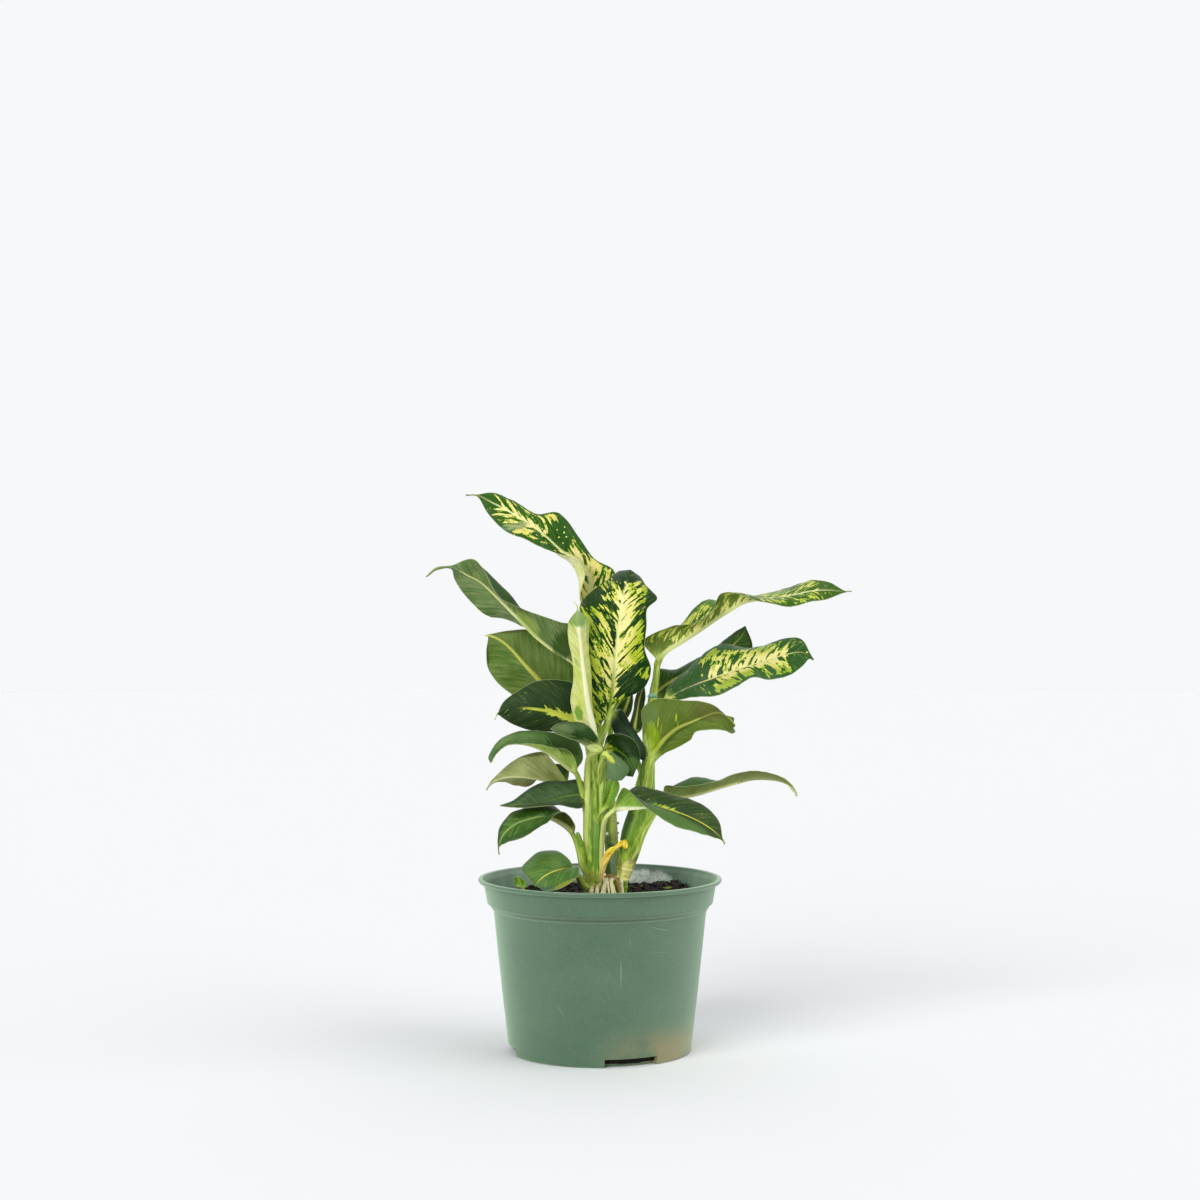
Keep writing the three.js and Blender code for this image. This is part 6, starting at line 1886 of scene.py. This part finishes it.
def build_stage(settings):
    """A plain floor and backdrop, the lights and the camera; none of it belongs to the plant."""
    scene = bpy.context.scene
    deselect_all()
    bpy.ops.mesh.primitive_circle_add(
        vertices=96, radius=FLOOR_RADIUS, fill_type="NGON", location=(0, 0, FLOOR_DROP)
    )
    floor = bpy.context.object
    floor.name = "studio_floor"
    bpy.ops.object.transform_apply(location=True)
    # Matt paper: fibres a little lighter than the sheet
    material, shader, add = new_material("matt_studio_paper", 1.0, specular=0.0)
    fibres = add("TexNoise", add("TexCoord", out="Object"), per_mm(1.1111), 2.0)
    feed(shader, "Base Color", add("Mix", fibres, list(settings.floor), "#f4f6f9"))
    floor.data.materials.append(material)

    # The backdrop is bright to look at, but lights the plant less than the soft lamps do.
    world = bpy.data.worlds.new("studio_sky")
    world.use_nodes = True
    tree = world.node_tree
    sky = tree.nodes["Background"]
    sky.inputs["Color"].default_value = linear("#f6f8fa")
    to_eye = add_node(tree, "LightPath", out="Is Camera Ray")
    mirrored = add_node(tree, "LightPath", out="Is Glossy Ray")
    shown = add_node(tree, "Math", to_eye, mirrored, operation="MAXIMUM")
    feed(sky, "Strength", add_node(tree, "MapRange", shown, 0.0, 1.0, settings.sky, 1.0))
    scene.world = world

    soft_lamp("key_light", (-0.6, -1.0, 0.5), settings.key, 45, (1, 0.99, 0.95))
    soft_lamp("fill_light", (1.0, -0.4, 0.6), settings.fill, 60, (1, 0.99, 0.95))
    soft_lamp("back_light", (0.2, 1.0, 1.6), settings.back, 80)

    camera = bpy.data.cameras.new("front_camera")
    camera.lens, camera.sensor_width, camera.sensor_fit = LENS, SENSOR, "HORIZONTAL"
    camera.clip_start, camera.clip_end = 0.05, 50
    eye = bpy.data.objects.new("front_camera", camera)
    eye.location = (0, -EYE_DISTANCE * MM, EYE_HEIGHT * MM)
    eye.rotation_euler = (math.pi / 2, 0, 0)
    scene.collection.objects.link(eye)
    scene.camera = eye
    scene.view_settings.view_transform = "Standard"


# ---------------------------------------------------------------- add-on


def colour_property(name, description, code):
    """A colour that the sidebar shows, with a hex value as its default."""
    return bpy.props.FloatVectorProperty(
        name=name,
        description=description,
        subtype="COLOR",
        size=4,
        min=0,
        max=1,
        default=linear(code),
    )


def share_property(name, description, default):
    """A share from 0 to 1."""
    return bpy.props.FloatProperty(
        name=name, description=description, subtype="FACTOR", min=0, max=1, default=default
    )


def strength_property(name, description, default):
    """The strength of a light."""
    return bpy.props.FloatProperty(name=name, description=description, min=0, default=default)


class PotSettings(bpy.types.PropertyGroup):
    wall: colour_property("Wall", "Colour of the moulded wall", "#30503a")
    wall_light: colour_property("Light wall", "Colour of the wall's lighter clouds", "#3b5842")
    dust: share_property("Dust", "Sheen of the dust film", 0.75)
    roughness: share_property("Roughness", "Roughness of the wall", 0.38)


class SoilSettings(bpy.types.PropertyGroup):
    crumbs: bpy.props.IntProperty(
        name="Bits", description="Number of bark and moss bits on the peat", default=2300, min=0
    )


class StemSettings(bpy.types.PropertyGroup):
    light: colour_property("Light", "Colour of the pale fibres", "#b4cf4e")
    base: colour_property("Base", "Colour of the skin", "#73a018")
    dark: colour_property("Dark", "Colour of the darker blotches", "#4d7c0c")


class StageSettings(bpy.types.PropertyGroup):
    floor: colour_property("Floor", "Colour of the floor", "#f1f3f7")
    sky: strength_property("Sky", "Strength of the even light", 0.22)
    key: strength_property("Key", "Strength of the light from the left", 2.6)
    fill: strength_property("Fill", "Strength of the light from the right", 1.4)
    back: strength_property("Back", "Strength of the light from above and behind", 1.1)


class DIEFFENBACHIA_OT_pot(bpy.types.Operator):
    """Build the nursery pot"""

    bl_idname = "dieffenbachia.pot"
    bl_label = "Pot"

    def execute(self, context):
        build_pot(context.scene.dieffenbachia_pot)
        return {"FINISHED"}


class DIEFFENBACHIA_OT_soil(bpy.types.Operator):
    """Build the peat and the bits that lie on it"""

    bl_idname = "dieffenbachia.soil"
    bl_label = "Soil"

    def execute(self, context):
        build_soil(context.scene.dieffenbachia_soil)
        return {"FINISHED"}


class DIEFFENBACHIA_OT_stems(bpy.types.Operator):
    """Build the three stems"""

    bl_idname = "dieffenbachia.stems"
    bl_label = "Stems"

    def execute(self, context):
        build_stems(context.scene.dieffenbachia_stems)
        return {"FINISHED"}


class DIEFFENBACHIA_OT_roots(bpy.types.Operator):
    """Build the roots and the withered sheath"""

    bl_idname = "dieffenbachia.roots"
    bl_label = "Roots and sheath"

    def execute(self, context):
        build_roots(context.scene.dieffenbachia_stems)
        build_sheath()
        return {"FINISHED"}


class DIEFFENBACHIA_OT_leaves(bpy.types.Operator):
    """Build every leaf with its stalk"""

    bl_idname = "dieffenbachia.leaves"
    bl_label = "Leaves"

    def execute(self, context):
        build_leaves()
        return {"FINISHED"}


class DIEFFENBACHIA_OT_stage(bpy.types.Operator):
    """Set the floor, the lights and the camera"""

    bl_idname = "dieffenbachia.stage"
    bl_label = "Stage"

    def execute(self, context):
        build_stage(context.scene.dieffenbachia_stage)
        return {"FINISHED"}


class DIEFFENBACHIA_PT_panel(bpy.types.Panel):
    """Lists the pieces in the 3D view's sidebar"""

    bl_idname = "DIEFFENBACHIA_PT_panel"
    bl_label = "Dieffenbachia"
    bl_space_type = "VIEW_3D"
    bl_region_type = "UI"
    bl_category = "Dieffenbachia"

    def draw(self, context):
        for step in OPERATORS:
            self.layout.operator(step.bl_idname)
        for name in SETTINGS:
            group = getattr(context.scene, name)
            for key in group.__annotations__:
                self.layout.prop(group, key)


SETTINGS = {
    "dieffenbachia_pot": PotSettings,
    "dieffenbachia_soil": SoilSettings,
    "dieffenbachia_stems": StemSettings,
    "dieffenbachia_stage": StageSettings,
}
OPERATORS = (
    DIEFFENBACHIA_OT_pot,
    DIEFFENBACHIA_OT_soil,
    DIEFFENBACHIA_OT_stems,
    DIEFFENBACHIA_OT_roots,
    DIEFFENBACHIA_OT_leaves,
    DIEFFENBACHIA_OT_stage,
)
CLASSES = (*SETTINGS.values(), *OPERATORS, DIEFFENBACHIA_PT_panel)


def register():
    """Registers every class and hangs the settings on the scene."""
    for entry in CLASSES:
        bpy.utils.register_class(entry)
    for name, group in SETTINGS.items():
        setattr(bpy.types.Scene, name, bpy.props.PointerProperty(type=group))


def unregister():
    """Takes away what register added."""
    for name in SETTINGS:
        delattr(bpy.types.Scene, name)
    for entry in reversed(CLASSES):
        bpy.utils.unregister_class(entry)


def main():
    """Builds everything in order."""
    register()
    deselect_all()
    bpy.ops.dieffenbachia.pot()
    bpy.ops.dieffenbachia.soil()
    bpy.ops.dieffenbachia.stems()
    bpy.ops.dieffenbachia.roots()
    bpy.ops.dieffenbachia.leaves()
    bpy.ops.dieffenbachia.stage()


if __name__ == "__main__":
    main()
